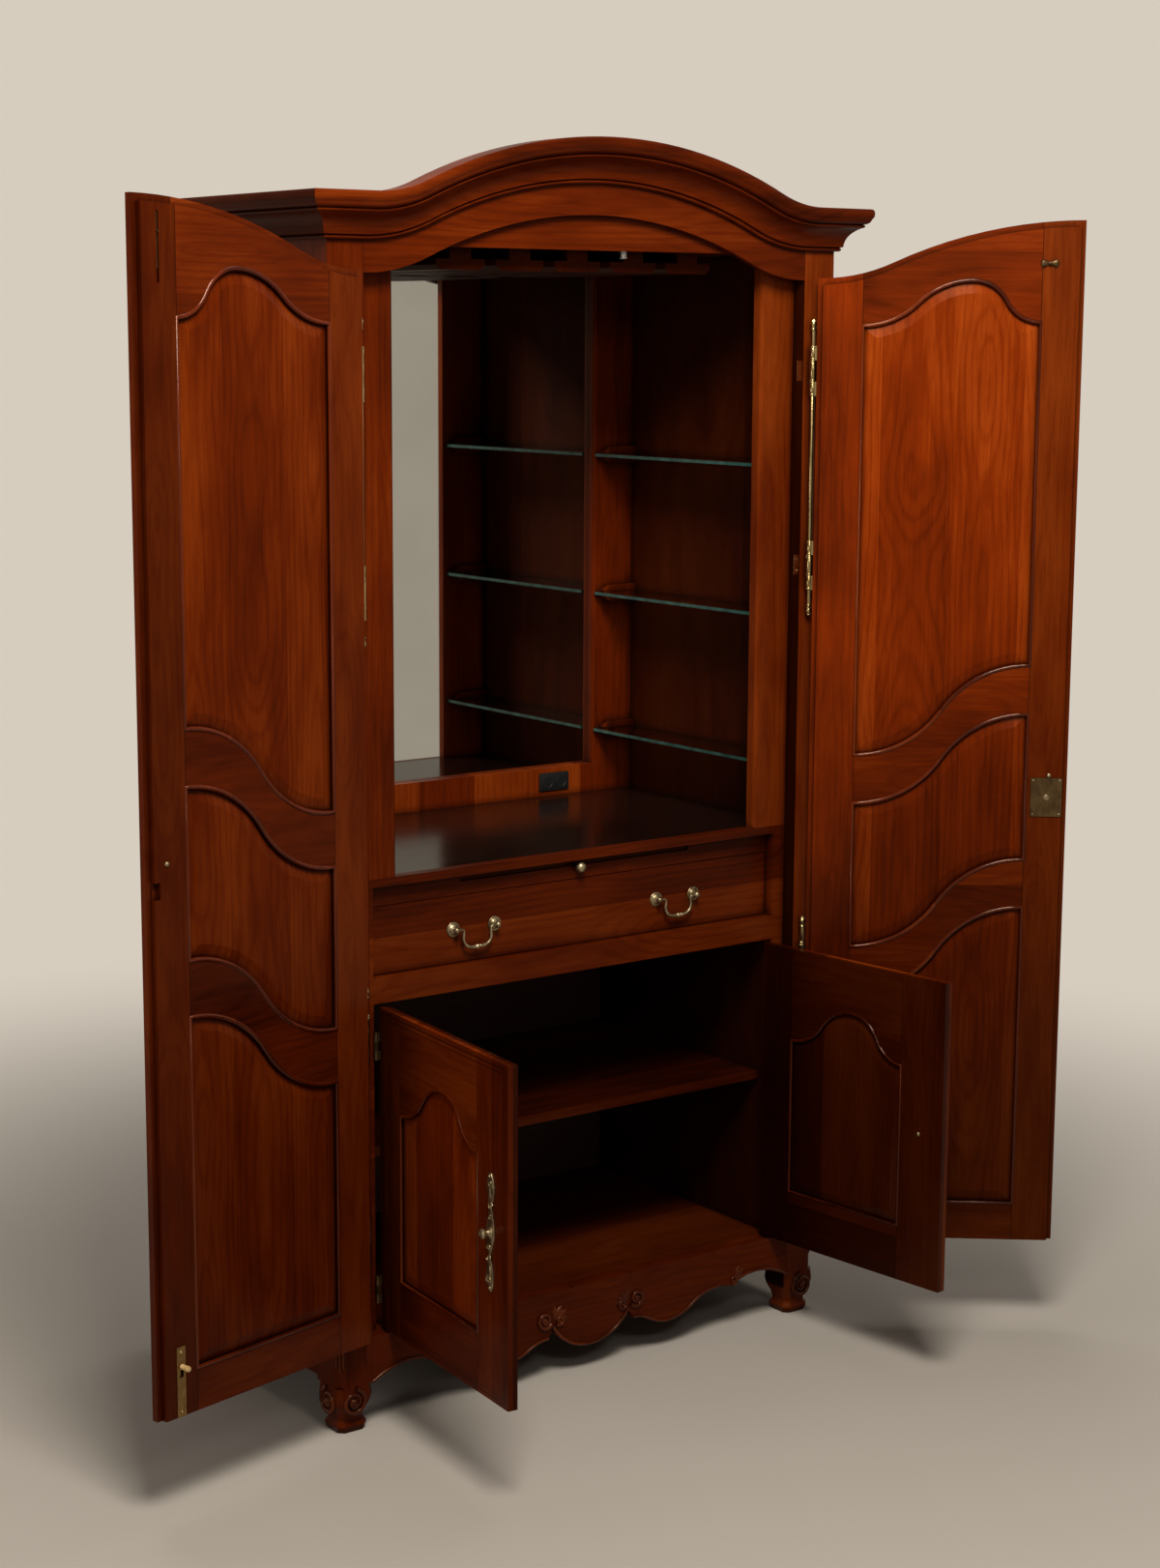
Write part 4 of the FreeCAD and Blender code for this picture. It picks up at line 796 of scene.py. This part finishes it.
def rodHinges():
    upper, lower = rods["middles"]
    left = joined("leftRodSleeves", repeated(oneRod(upper, -rods["out"]), [(0, 0, lower - upper)]))
    right = copied(left, (2 * rods["out"], 0, 0))
    right.name = "rightRodSleeves"
    settle(left, "left_tall_door", "brass")
    settle(right, "right_tall_door", "brass")


def postLeaf(low, high):
    near, far = rods["cheek"]
    front, back = rods["leaf"]
    corners = [(near, front + 1), (near, back - 1), (near - 0.4, back), (far, back), (far, front), (near - 0.4, front)]
    piece = outlined("leaf", [spot(-x, y, low + 0.5) for x, y in corners])
    pulled(0, 0, high - low - 1)
    closeUp(piece)
    first, second = [low + (high - low) * share for share in rods["nails"]]
    nail = turned("nail", [(2.2, 0), (2.0, 0.25), (1.2, 0.4), (0.3, 0.45)],
                  spot(-near, (front + back) / 2, first), (1, 0, 0), 14)
    return [piece] + repeated(nail, [(0, 0, second - first)])


def postSleeves():
    half = rods["caseKnuckle"] / 2
    heights = [middle + way * rods["spread"] for middle in rods["middles"] for way in (-1, 1)]
    low, high = heights[0] - half, heights[0] + half
    knuckle = joined("knuckle", [sleeve(low, high, -rods["out"])] + postLeaf(low, high))
    left = joined("postHingeSleeves", repeated(knuckle, [(0, 0, z - heights[0]) for z in heights[1:]]))
    return settle(joined("postHingeSleeves", [left, mirroredX(left)]), "case", "brass")


rodHinges()
postSleeves()
print("rod hinges")

# drawer pulls: round roses with a stepped rim, and a swan-neck bail with a knop in its middle
pulls = {"middle": 226, "half": 44, "height": 857, "face": 50, "axis": 38, "drop": 34, "knop": 33.6}


def drawerRoses():
    profile = [(13.0, 0), (13.4, 1.0), (12.6, 2.0), (11.0, 2.2), (10.2, 1.6), (9.4, 2.0), (8.0, 4.0), (5.0, 5.4),
               (3.4, 6.0), (3.0, 7.2), (4.6, 8.6), (5.9, 10.4), (6.0, 12.5), (5.2, 15), (3.0, 17.0), (0.8, 17.9)]
    places = [side * pulls["middle"] + way * pulls["half"] for side in (-1, 1) for way in (-1, 1)]
    rose = turned("rose", profile, spot(places[0], pulls["face"], pulls["height"]), (0, -1, 0), 32)
    piece = joined("drawerRoses", repeated(rose, [(x - places[0], 0, 0) for x in places[1:]]))
    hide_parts("drawer_roses")
    return settle(piece, "drawer", "oldBrass")


def bail(name, middle):
    half = [(42, 0, 2.2), (36, 0, 2.4), (29, 1, 2.6), (28.5, -9, 2.4), (31, -19, 2.5), (24, -31, 2.9), (11, -34, 3.2)]
    way = [(-x, z, thick) for x, z, thick in half] + [(0, -pulls["drop"], 3.3)] + half[::-1]
    places = [spot(middle + x, pulls["axis"], pulls["height"] + z) for x, z, thick in way]
    rod = bentRod("bail", places, [thick for x, z, thick in way], 10)
    profile = [(2.6, -7), (3.9, -5.6), (3.2, -4), (4.6, -1.5), (4.9, 0), (4.6, 1.5), (3.2, 4), (3.9, 5.6), (2.6, 7)]
    knop = turned("knop", profile, spot(middle, pulls["axis"], pulls["height"] - pulls["knop"]), (1, 0, 0), 24)
    return joined(name, [rod, knop])


def bails():
    left = bail("leftBail", -pulls["middle"])
    right = copied(left, (2 * pulls["middle"], 0, 0))
    right.name = "rightBail"
    for piece, node in ((left, "left_bail"), (right, "right_bail")):
        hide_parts(node)
        settle(piece, node, "oldBrass", angle=50)


drawerRoses()
bails()
print("drawer pulls")

# door pulls: a scroll plate with curls, leaves and two nails, and a turned knob
plateShape = {"half": 102, "wide": 13, "waist": 0.24, "lobes": 2.5, "swell": 1.3, "thick": 2.4, "soft": 0.8,
              "points": 40, "lean": 2.2, "knob": 17, "nail": 94, "leaf": 56, "curlOut": 2.5,
              "curls": ((82, 9, -1.3), (44, 8, 1.3), (27, 6.5, -1.2))}     # height, size and turns
pullPlaces = {"small": (-56.25, 32, 458), "tall": (-36, -12.5, 1077)}


def plateOutline(x, y, z):
    outline = []
    for side in (1, -1):
        for i in range(plateShape["points"]):
            t = side * (1 - 2 * (i + 0.5) / plateShape["points"])
            lobe = abs(math.cos(plateShape["lobes"] * math.pi * t / 2)) ** plateShape["swell"]
            wide = plateShape["wide"] * (plateShape["waist"] + (1 - plateShape["waist"]) * lobe)
            wide *= math.sqrt(max(0, 1 - t ** 6))     # rounds both ends
            lean = plateShape["lean"] * math.sin(math.pi * t)
            outline.append(spot(x + side * wide + lean, y, z + t * plateShape["half"]))
    return outline


def scrollPlate(x, y, z):
    plate = outlined("plate", plateOutline(x, y, z))
    pulled(0, -plateShape["thick"], 0)
    closeUp(plate)
    softened(plate, plateShape["soft"])
    face = y - plateShape["thick"]
    pieces = [plate]
    for way in (-1, 1):
        for lift, size, turns in plateShape["curls"]:
            middle = spot(x + way * plateShape["curlOut"], face - 0.2, z + way * lift)
            pieces.append(scroll("curl", middle, (way, 0, 0), (0, 0, way), size, 20, turns, 1.5, 1.0))
        place = spot(x, face, z + way * plateShape["leaf"])
        leaf = turned("leaf", [(0.4, 0), (3.4, 5), (4.6, 11), (3.2, 20), (1.5, 27), (0.3, 33)], place, (0, 0, way), 12)
        pieces.append(flattened(leaf, place, (1, 0.42, 1)))
        pieces.append(turned("nail", [(2.4, 0), (2.2, 0.9), (1.3, 1.6), (0.3, 1.9)],
                             spot(x, face, z + way * plateShape["nail"]), (0, -1, 0), 16))
    return pieces


def plateKnob(x, y, z):
    profile = [(9.5, 0), (9.8, 1.0), (8.6, 1.9), (6.0, 2.4), (4.4, 4.2), (3.8, 6.5), (4.6, 8.6), (7.2, 10.4),
               (8.6, 12.6), (8.7, 14.2), (7.6, 15.8), (5.0, 16.8), (4.6, 16.4), (2.2, 17.0), (0.4, 17.1)]
    profile = [(radius, along * plateShape["knob"] / profile[-1][1]) for radius, along in profile]
    return turned("knob", profile, spot(x, y - plateShape["thick"], z), (0, -1, 0), 32)


def doorPull(name, node, side, door, body, place):
    piece = copied(pull, Vector(place) - Vector(pullPlaces["small"]))
    piece = swungOpen(piece, side, door)
    piece.name = name
    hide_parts(node)
    return settle(piece, body, "oldBrass")


pull = joined("pull", scrollPlate(*pullPlaces["small"]) + [plateKnob(*pullPlaces["small"])])
doorPull("leftSmallPull", "left_small_pull", -1, smallDoor, "left_small_door", pullPlaces["small"])
doorPull("rightSmallPull", "right_small_pull", 1, smallDoor, "right_small_door", pullPlaces["small"])
doorPull("leftTallPull", "left_door_pull", -1, tallDoor, "left_tall_door", pullPlaces["tall"])
doorPull("rightTallPull", "right_door_pull", 1, tallDoor, "right_tall_door", pullPlaces["tall"])
bpy.data.objects.remove(pull)
print("door pulls")

# front posts: reeds on the canted corner, a leaf above them and a scroll on both faces of the foot
post = {"corner": 537.5, "depth": 7.5, "reedLow": 112, "reedHigh": 1890, "step": 8, "pitch": 6.2, "reed": 2.7,
        "leaf": 1908, "curl": (5.2, 1966), "footFront": (-514, -0.6, 56), "footSide": (-546.2, 33, 56)}


def reed(x, y, low, high, radius):
    profile = [(0.3, low), (radius * 0.7, low + 1.5), (radius, low + 5), (radius, high - 5), (radius * 0.7, high - 1.5),
               (0.3, high)]
    return turned("reed", profile, spot(x, y, 0), (0, 0, 1), 12)


def cantCarving():
    along = Vector((1, 1, 0)).normalized()      # across the canted face
    pieces = []
    for step in (-1, 0, 1):
        x = -post["corner"] - along.x * step * post["pitch"]
        y = post["depth"] + along.y * step * post["pitch"]
        shorter = abs(step) * post["step"]
        pieces.append(reed(x, y, post["reedLow"] + shorter, post["reedHigh"] - shorter, post["reed"]))
    pieces.append(turned("leaf", [(0.5, 0), (4.5, 12), (8.6, 34), (9.6, 48), (7.6, 62), (3.0, 70), (0.5, 72)],
                         spot(-post["corner"], post["depth"], post["leaf"]), (0, 0, 1), 16))
    out, z = post["curl"]
    for way in (-1, 1):
        middle = spot(-post["corner"] - way * out * along.x, post["depth"] + way * out * along.y, z)
        pieces.append(scroll("curl", middle, (-way * along.x, way * along.y, 0), (0, 0, 1), 5.5, 200, 1.2, 2.0, 1.2))
    return pieces


def footScrolls():
    pieces = []
    for key, across, face in (("footFront", (1, 0, 0), (0, -1, 0)), ("footSide", (0, 1, 0), (-1, 0, 0))):
        middle = spot(*post[key])
        pieces.append(scroll("volute", middle, across, (0, 0, 1), 25, 80, -2.1, 4.8, 2.6))
        pieces.append(turned("eye", [(7.0, -2), (6.8, 1.6), (5.4, 4.0), (2.8, 5.4), (0.4, 5.8)], middle, face, 20))
    return pieces


def postCarving():
    left = joined("postCarving", cantCarving() + footScrolls())
    return settle(joined("postCarving", [left, mirroredX(left)]), "case", "carving")


postCarving()
print("posts carved")

# apron: a bead that follows the scalloped edge, with a scroll and leaf at each cusp
apron = {"lobe": (0, 49), "cusp": (87, 99), "notch": (97, 79), "second": (181, 55), "shoulder": (300, 96),
         "leaf": (336, 91), "hollow": (395, 108), "end": (475, 84), "bead": (3.0, -0.6),
         "cuspLeaves": ((92, 27, 6.0), (124, 30, 6.4), (152, 32, 6.0), (178, 30, 5.0)),     # lean, length and width
         "endLeaves": ((35, 30, 5.0), (66, 26, 4.6), (8, 26, 4.4))}


def levelArc(start, end, count):
    dx, dz = end[0] - start[0], end[1] - start[1]
    radius = (dx * dx + dz * dz) / (2 * dz)
    full = math.asin(dx / abs(radius))
    return [(start[0] + abs(radius) * math.sin(full * i / count), start[1] + radius * (1 - math.cos(full * i / count)))
            for i in range(count + 1)]


def ogeeWay(start, end):
    change = tuple((a + b) / 2 for a, b in zip(start, end))
    return levelArc(start, change, 6)[:-1] + levelArc(end, change, 6)[::-1]


def beadStretch(way):
    radius, depth = apron["bead"]
    places = [spot(x, depth, z + radius / 2) for x, z in way]
    return bentRod("bead", places, [radius] * len(places), 2)


def leafSpray(start, depth, leaves):
    pieces = []
    for lean, length, wide in leaves:
        way = Vector((math.cos(math.radians(lean)), 0, math.sin(math.radians(lean))))
        profile = [(0.4, 0), (wide * 0.8, length * 0.25), (wide, length * 0.5), (wide * 0.6, length * 0.8),
                   (0.4, length)]
        leaf = turned("leaf", profile, spot(*start), way, 14)
        pieces.append(flattened(leaf, spot(*start), (1, depth, 1)))
    return pieces


def apronCarving():
    ways = [levelArc(apron["lobe"], apron["cusp"], 9),
            ogeeWay(apron["notch"], apron["second"]) + ogeeWay(apron["second"], apron["shoulder"])[1:],
            levelArc(apron["hollow"], apron["leaf"], 5)[::-1] + levelArc(apron["hollow"], apron["end"], 6)[1:]]
    pieces = [beadStretch(way) for way in ways]
    x, z = apron["cusp"]
    middle = spot(x + 18, -1.5, z + 17)
    pieces.append(scroll("curl", middle, (1, 0, 0), (0, 0, 1), 17, 215, 1.7, 4.6, 2.8))
    pieces.append(scroll("curl", spot(x - 15, -1.5, z + 11), (-1, 0, 0), (0, 0, 1), 10, 215, 1.5, 3.2, 2.0))
    pieces.append(turned("eye", [(5.4, -2), (5.2, 1.5), (3.6, 3.4), (0.5, 4.2)], middle, (0, -1, 0), 16))
    pieces += leafSpray((x - 3, 0, z + 14), 0.55, apron["cuspLeaves"])
    x, z = apron["leaf"]
    pieces.append(scroll("curl", spot(x + 5, -1.2, z + 10), (1, 0, 0), (0, 0, 1), 9, 250, 1.5, 3.0, 1.8))
    pieces += leafSpray((x + 8, 0, z + 12), 0.5, apron["endLeaves"])
    right = joined("apronCarving", pieces)
    return settle(joined("apronCarving", [right, mirroredX(right)]), "case", "carving")


apronCarving()
print("apron carved")

# beads round the door panels: the rim of each panel is lifted from a copy and given a round section
tallBead = {"rims": ((-1, -0.2945), (1, -0.2885)), "lift": 6.2, "radius": 4.2}
smallBead = {"rims": ((-1, -0.252), (1, -0.246)), "lift": 4.4, "radius": 3.2}
rimReach = 0.0001


def rimBead(name, node, body, side, door, bead):
    choose(nodes[node])
    bpy.ops.object.duplicate(linked=False)
    piece = closeUp(bpy.context.object)
    hinge = hingePlace(side, door)
    turn = Matrix.Rotation(-openAngle(side, door), 3, "Z")

    def level(corner):
        depth = (turn @ (corner.co - hinge) + hinge).y
        return [way for way, rim in bead["rims"] if abs(depth - rim) < rimReach]
    editMode()
    bpy.ops.mesh.select_mode(type="EDGE")
    bpy.ops.mesh.select_all(action="DESELECT")
    objectMode()
    for edge in piece.data.edges:
        ends = [level(piece.data.vertices[i]) for i in edge.vertices]
        edge.select = not (ends[0] and ends[0] == ends[1])
    editMode()
    bpy.ops.mesh.delete(type="EDGE")
    bpy.ops.mesh.select_mode(type="VERT")
    for way, rim in bead["rims"]:
        bpy.ops.mesh.select_all(action="DESELECT")
        objectMode()
        for corner in piece.data.vertices:
            corner.select = level(corner) == [way]
        editMode()
        bpy.ops.transform.translate(value=turn.inverted() @ Vector((0, way * bead["lift"] / 1000, 0)))
    objectMode()
    bpy.ops.object.convert(target="CURVE")
    curve = bpy.context.object.data
    curve.bevel_depth = bead["radius"] / 1000
    curve.bevel_resolution = 3
    bpy.ops.object.convert(target="MESH")
    piece = closeUp(bpy.context.object)
    piece.name = name
    return settle(piece, body, "bead", angle=60)


rimBead("leftPanelBeads", "left_door_panels", "left_tall_door", -1, tallDoor, tallBead)
rimBead("rightPanelBeads", "right_door_panels", "right_tall_door", 1, tallDoor, tallBead)
rimBead("leftSmallBeads", "left_small_door", "left_small_door", -1, smallDoor, smallBead)
rimBead("rightSmallBeads", "right_small_door", "right_small_door", 1, smallDoor, smallBead)
print("panel beads")

# small fittings on the inner faces of the doors
fittings = {"face": 9.5, "lock": (-40, 1036), "nails": (24.5, 32), "catch": (-65.5, 2016), "pullScrew": (-36, 1077),
            "boltPlate": (-43, 172, 290), "boltKnob": 257, "boltScrew": 9, "smallFace": 50, "smallScrew": (-56.25, 458)}


def dome(x, y, z, radius):
    profile = [(radius, -0.5), (radius, 0.3), (radius * 0.85, radius * 0.42), (radius * 0.5, radius * 0.64),
               (radius * 0.1, radius * 0.7)]
    return turned("dome", profile, spot(x, y, z), (0, 1, 0), 18)


def swungFitting(name, pieces, side, door, body, finish):
    piece = swungOpen(joined(name, pieces), side, door)
    piece.name = name
    return settle(piece, body, finish)


def lockNails():
    x, z = fittings["lock"]
    wide, tall = fittings["nails"]
    face = fittings["face"] + 2
    heads = repeated(dome(x - wide, face, z - tall, 1.9), [(0, 0, 2 * tall), (2 * wide, 0, 0), (2 * wide, 0, 2 * tall)])
    pin = turned("pin", [(5.2, -0.5), (5.2, 0.5), (4.6, 0.9), (2.2, 1.0), (2.1, 2.6), (1.5, 3.2), (0.2, 3.4)],
                 spot(x, face, z), (0, 1, 0), 20)
    return swungFitting("lockNails", heads + [pin], 1, tallDoor, "right_tall_door", "oldBrass")


def bowCatch():
    x, z = fittings["catch"]
    middle = spot(x, fittings["face"] + 2.6, z)
    wings = []
    profile = [(2.0, 0), (3.2, 4), (6.6, 10), (7.0, 13), (4.2, 15.4), (0.6, 16)]
    for way in (-1, 1):
        wings.append(flattened(turned("wing", profile, middle, (way, 0, 0), 16), middle, (1, 0.42, 1)))
    stem = turned("stem", [(3.0, -3), (2.8, 2.2), (3.4, 2.8), (2.6, 4.4), (0.4, 5.0)], middle, (0, 1, 0), 18)
    return swungFitting("topCatch", wings + [stem], 1, tallDoor, "right_tall_door", "lockBrass")


def doorScrews():
    x, z = fittings["pullScrew"]
    for side, body, name in ((-1, "left_tall_door", "leftPullScrew"), (1, "right_tall_door", "rightPullScrew")):
        swungFitting(name, [dome(x, fittings["face"], z, 4.4)], side, tallDoor, body, "oldBrass")
    x, z = fittings["smallScrew"]
    for side, body, name in ((-1, "left_small_door", "leftKnobScrew"), (1, "right_small_door", "rightKnobScrew")):
        swungFitting(name, [dome(x, fittings["smallFace"], z, 4.2)], side, smallDoor, body, "oldBrass")


def boltFittings():
    x, low, high = fittings["boltPlate"]
    face = fittings["face"] + 1.5
    inset = fittings["boltScrew"]
    heads = repeated(dome(x, face, low + inset, 2.6), [(0, 0, high - low - 2 * inset)])
    swungFitting("boltScrews", heads, -1, tallDoor, "left_tall_door", "brass")
    profile = [(4.2, 2.2), (4.8, 2.8), (4.9, 4.0), (4.3, 5.4), (4.5, 11.0), (4.9, 16.0), (5.0, 18.2), (4.4, 19.8),
               (2.6, 20.6), (0.5, 20.8)]
    knob = turned("knob", profile, spot(x, fittings["face"], fittings["boltKnob"]), (0, 1, 0), 24)
    swungFitting("boltKnob", [knob], -1, tallDoor, "bottom_bolt", "ivory")


lockNails()
bowCatch()
doorScrews()
boltFittings()
print("door fittings")


# turned knob of the tray and the little lamp under the ceiling
def trayKnob():
    low, high = [Vector(corner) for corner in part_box("tray_knob")]
    radius = (high.x - low.x) * 500
    middle = Vector(((low.x + high.x) / 2, low.y + radius / 1000, (low.z + high.z) / 2))
    reach = (high.y - middle.y) * 1000
    profile = [(0.3, -radius), (radius * 0.5, -radius * 0.9), (radius * 0.85, -radius * 0.6), (radius, -radius * 0.1),
               (radius * 0.88, radius * 0.4), (radius * 0.5, radius * 0.75), (3.1, radius * 0.95), (3.0, reach)]
    piece = turned("trayKnob", profile, middle, (0, 1, 0), 32)
    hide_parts("tray_knob")
    return settle(piece, "serving_tray", "oldBrass")


def ceilingLamp():
    low, high = [Vector(corner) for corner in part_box("interior_lamp")]
    middle = Vector(((low.x + high.x) / 2, (low.y + high.y) / 2, high.z))
    drop = (high.z - low.z) * 1000
    wide = (high.x - low.x) * 500
    profile = [(wide, 0), (wide, 2.0), (wide - 1.2, 3.0), (wide - 1.2, drop - 3), (wide - 0.2, drop - 2.2),
               (wide - 0.2, drop), (wide - 2.0, drop), (wide - 2.6, drop - 4), (wide - 4.0, drop - 4.6),
               (0.5, drop - 5)]
    piece = turned("ceilingLamp", profile, middle, (0, 0, -1), 28)
    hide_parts("interior_lamp")
    return settle(piece, "case", "metal")


# outlet: a thin plate with two round sockets, each with a pair of slots
outlet = {"corner": 3.0, "inset": 0.6, "apart": 0.46, "slot": 4.2, "soft": 1.0}


def outletPlate():
    low, high = [Vector(corner) * 1000 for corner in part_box("power_outlet")]
    x, z = (low.x + high.x) / 2, (low.z + high.z) / 2
    wide, tall, corner = (high.x - low.x) / 2, (high.z - low.z) / 2, outlet["corner"]
    back, face = high.y - frontPlane, low.y - frontPlane + outlet["inset"]
    outline = []
    for i in range(16):
        angle = math.radians(90 * (i // 4) + 30 * (i % 4))
        across = (wide - corner) * (1 if i // 4 in (0, 3) else -1)
        up = (tall - corner) * (1 if i // 4 in (0, 1) else -1)
        outline.append(spot(x + across + corner * math.cos(angle), back, z + up + corner * math.sin(angle)))
    plate = outlined("outletPlate", outline)
    pulled(0, face - back, 0)
    softened(closeUp(plate), outlet["soft"])
    middle = x - wide * outlet["apart"]
    rim = [(12.6, -1), (12.6, 0.6), (11.6, 0.9), (11.0, 0.4), (0.6, 0.4)]
    socket = turned("socket", rim, spot(middle, face, z), (0, -1, 0), 28)
    place = spot(middle - outlet["slot"], face, z)
    slot = turned("slot", [(0.5, -0.2), (1.6, 0.2), (1.6, 0.8), (0.5, 0.9)], place, (0, -1, 0), 12)
    slots = repeated(flattened(slot, place, (0.6, 1, 2.4)), [(2 * outlet["slot"], 0, 0)])
    sockets = repeated(joined("socket", [socket] + slots), [(2 * wide * outlet["apart"], 0, 0)])
    piece = joined("outletPlate", [plate] + sockets)
    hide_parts("power_outlet")
    return settle(piece, "case", "plastic")


trayKnob()
ceilingLamp()
outletPlate()
print("tray knob, lamp and outlet")

# camera at the photograph's angle
view = {"place": (-2.8793, -4.1204, 1.8928), "yaw": 36.049, "pitch": 9.768, "roll": 0.188, "lens": 62.56,
        "shift": (0.0175, 0.0101), "sensor": 36}


def addCamera():
    yaw, pitch, roll = [math.radians(view[key]) for key in ("yaw", "pitch", "roll")]
    ahead = Vector((math.sin(yaw) * math.cos(pitch), math.cos(yaw) * math.cos(pitch), -math.sin(pitch)))
    level = Vector((math.cos(yaw), -math.sin(yaw), 0))
    above = level.cross(ahead)
    right = level * math.cos(roll) + above * math.sin(roll)
    up = above * math.cos(roll) - level * math.sin(roll)
    lens = bpy.data.cameras.new("photoLens")
    lens.lens = view["lens"]
    lens.sensor_width = view["sensor"]
    lens.shift_x, lens.shift_y = view["shift"]
    camera = bpy.data.objects.new("photoCamera", lens)
    bpy.context.scene.collection.objects.link(camera)
    camera.matrix_world = Matrix.Translation(view["place"]) @ Matrix((right, up, -ahead)).transposed().to_4x4()
    bpy.context.scene.camera = camera


# plain pale floor that fades into a plain pale backdrop, and soft lamps
studio = {"floor": (0.54, 0.49, 0.425), "backdrop": (0.68, 0.61, 0.52), "size": 60, "near": 0.9, "far": 3.4,
          "world": 0.07, "haze": 0.97, "mirrored": 0.6, "level": -0.001}
lamps = {        # place, aim, size, power, colour and beam in degrees
    "keyLamp": ((-1.15, -2.3, 3.9), (-0.1, -0.3, 1.7), (1.2, 1.2), 126, (1, 0.95, 0.88), 180),
    "fillLamp": ((4.4, -1.8, 3.0), (0, 0, 1.3), (1.8, 2.2), 4, (1, 0.96, 0.91), 150),
    "frontLamp": ((-1.5, -3.8, 2.8), (0.5, -0.4, 1.9), (0.7, 0.5), 8, (1, 0.96, 0.92), 150),
    "sideLamp": ((-3.6, -0.8, 1.1), (0, -0.6, 0.9), (0.8, 1.2), 12, (1, 0.95, 0.88), 150),
    "topLamp": ((0.3, 0.6, 4.4), (0, 0, 1.0), (2.6, 2.0), 40, (1, 0.97, 0.94), 150),
}


def addLamp(name, place, aim, size, power, colour, beam):
    lamp = bpy.data.lights.new(name, "AREA")
    lamp.shape = "RECTANGLE"
    lamp.size, lamp.size_y = size
    lamp.energy = power
    lamp.color = colour
    lamp.spread = math.radians(beam)
    holder = bpy.data.objects.new(name, lamp)
    bpy.context.scene.collection.objects.link(holder)
    direction = Vector(aim) - Vector(place)
    holder.matrix_world = Matrix.Translation(place) @ direction.to_track_quat("-Z", "Y").to_matrix().to_4x4()


def seenRay(finish):
    rays = [finish.node("ShaderNodeLightPath", {}, {}, name) for name in
            ("Is Camera Ray", "Is Glossy Ray", "Is Transmission Ray")]
    return finish.clamped(rays[0] + rays[1] * studio["mirrored"] + rays[2])


def addFloor():
    clearSelection()
    bpy.ops.mesh.primitive_plane_add(size=studio["size"], location=(0, 0, studio["level"]))
    floor = bpy.context.object
    floor.name = "studioFloor"
    applied()
    paint = Finish("studioPaint")
    haze = paint.noise(paint.place, 1.5, 2)
    tone = paint.between(haze, (*studio["floor"], 1), (*[c * studio["haze"] for c in studio["floor"]], 1))
    paint.set(Base_Color=tone, Roughness=0.8, Specular_IOR_Level=0.1)
    reach = paint.node("ShaderNodeVectorMath", {"operation": "LENGTH"}, {0: paint.place}, "Value")
    fade = paint.share(reach, studio["near"], studio["far"], "SMOOTHSTEP")
    glow = paint.node("ShaderNodeEmission", {}, {"Color": (*studio["backdrop"], 1), "Strength": 1.0})
    paint.blend(fade * seenRay(paint), glow)
    floor.data.materials.append(paint.material)


class Sky(Finish):
    def __init__(self, name):
        self.world = bpy.data.worlds.new(name)
        self.world.use_nodes = True
        self.tree = self.world.node_tree
        self.skin = self.tree.nodes["Background"]


def addSky():
    sky = Sky("studioSky")
    bpy.context.scene.world = sky.world
    sky.set(Color=(*studio["backdrop"], 1), Strength=studio["world"] + seenRay(sky) * (1 - studio["world"]))


def addStudio():
    addFloor()
    addSky()
    for name, values in lamps.items():
        addLamp(name, *values)


addCamera()
addStudio()
bpy.context.scene.view_settings.view_transform = "Standard"
print("camera and studio")
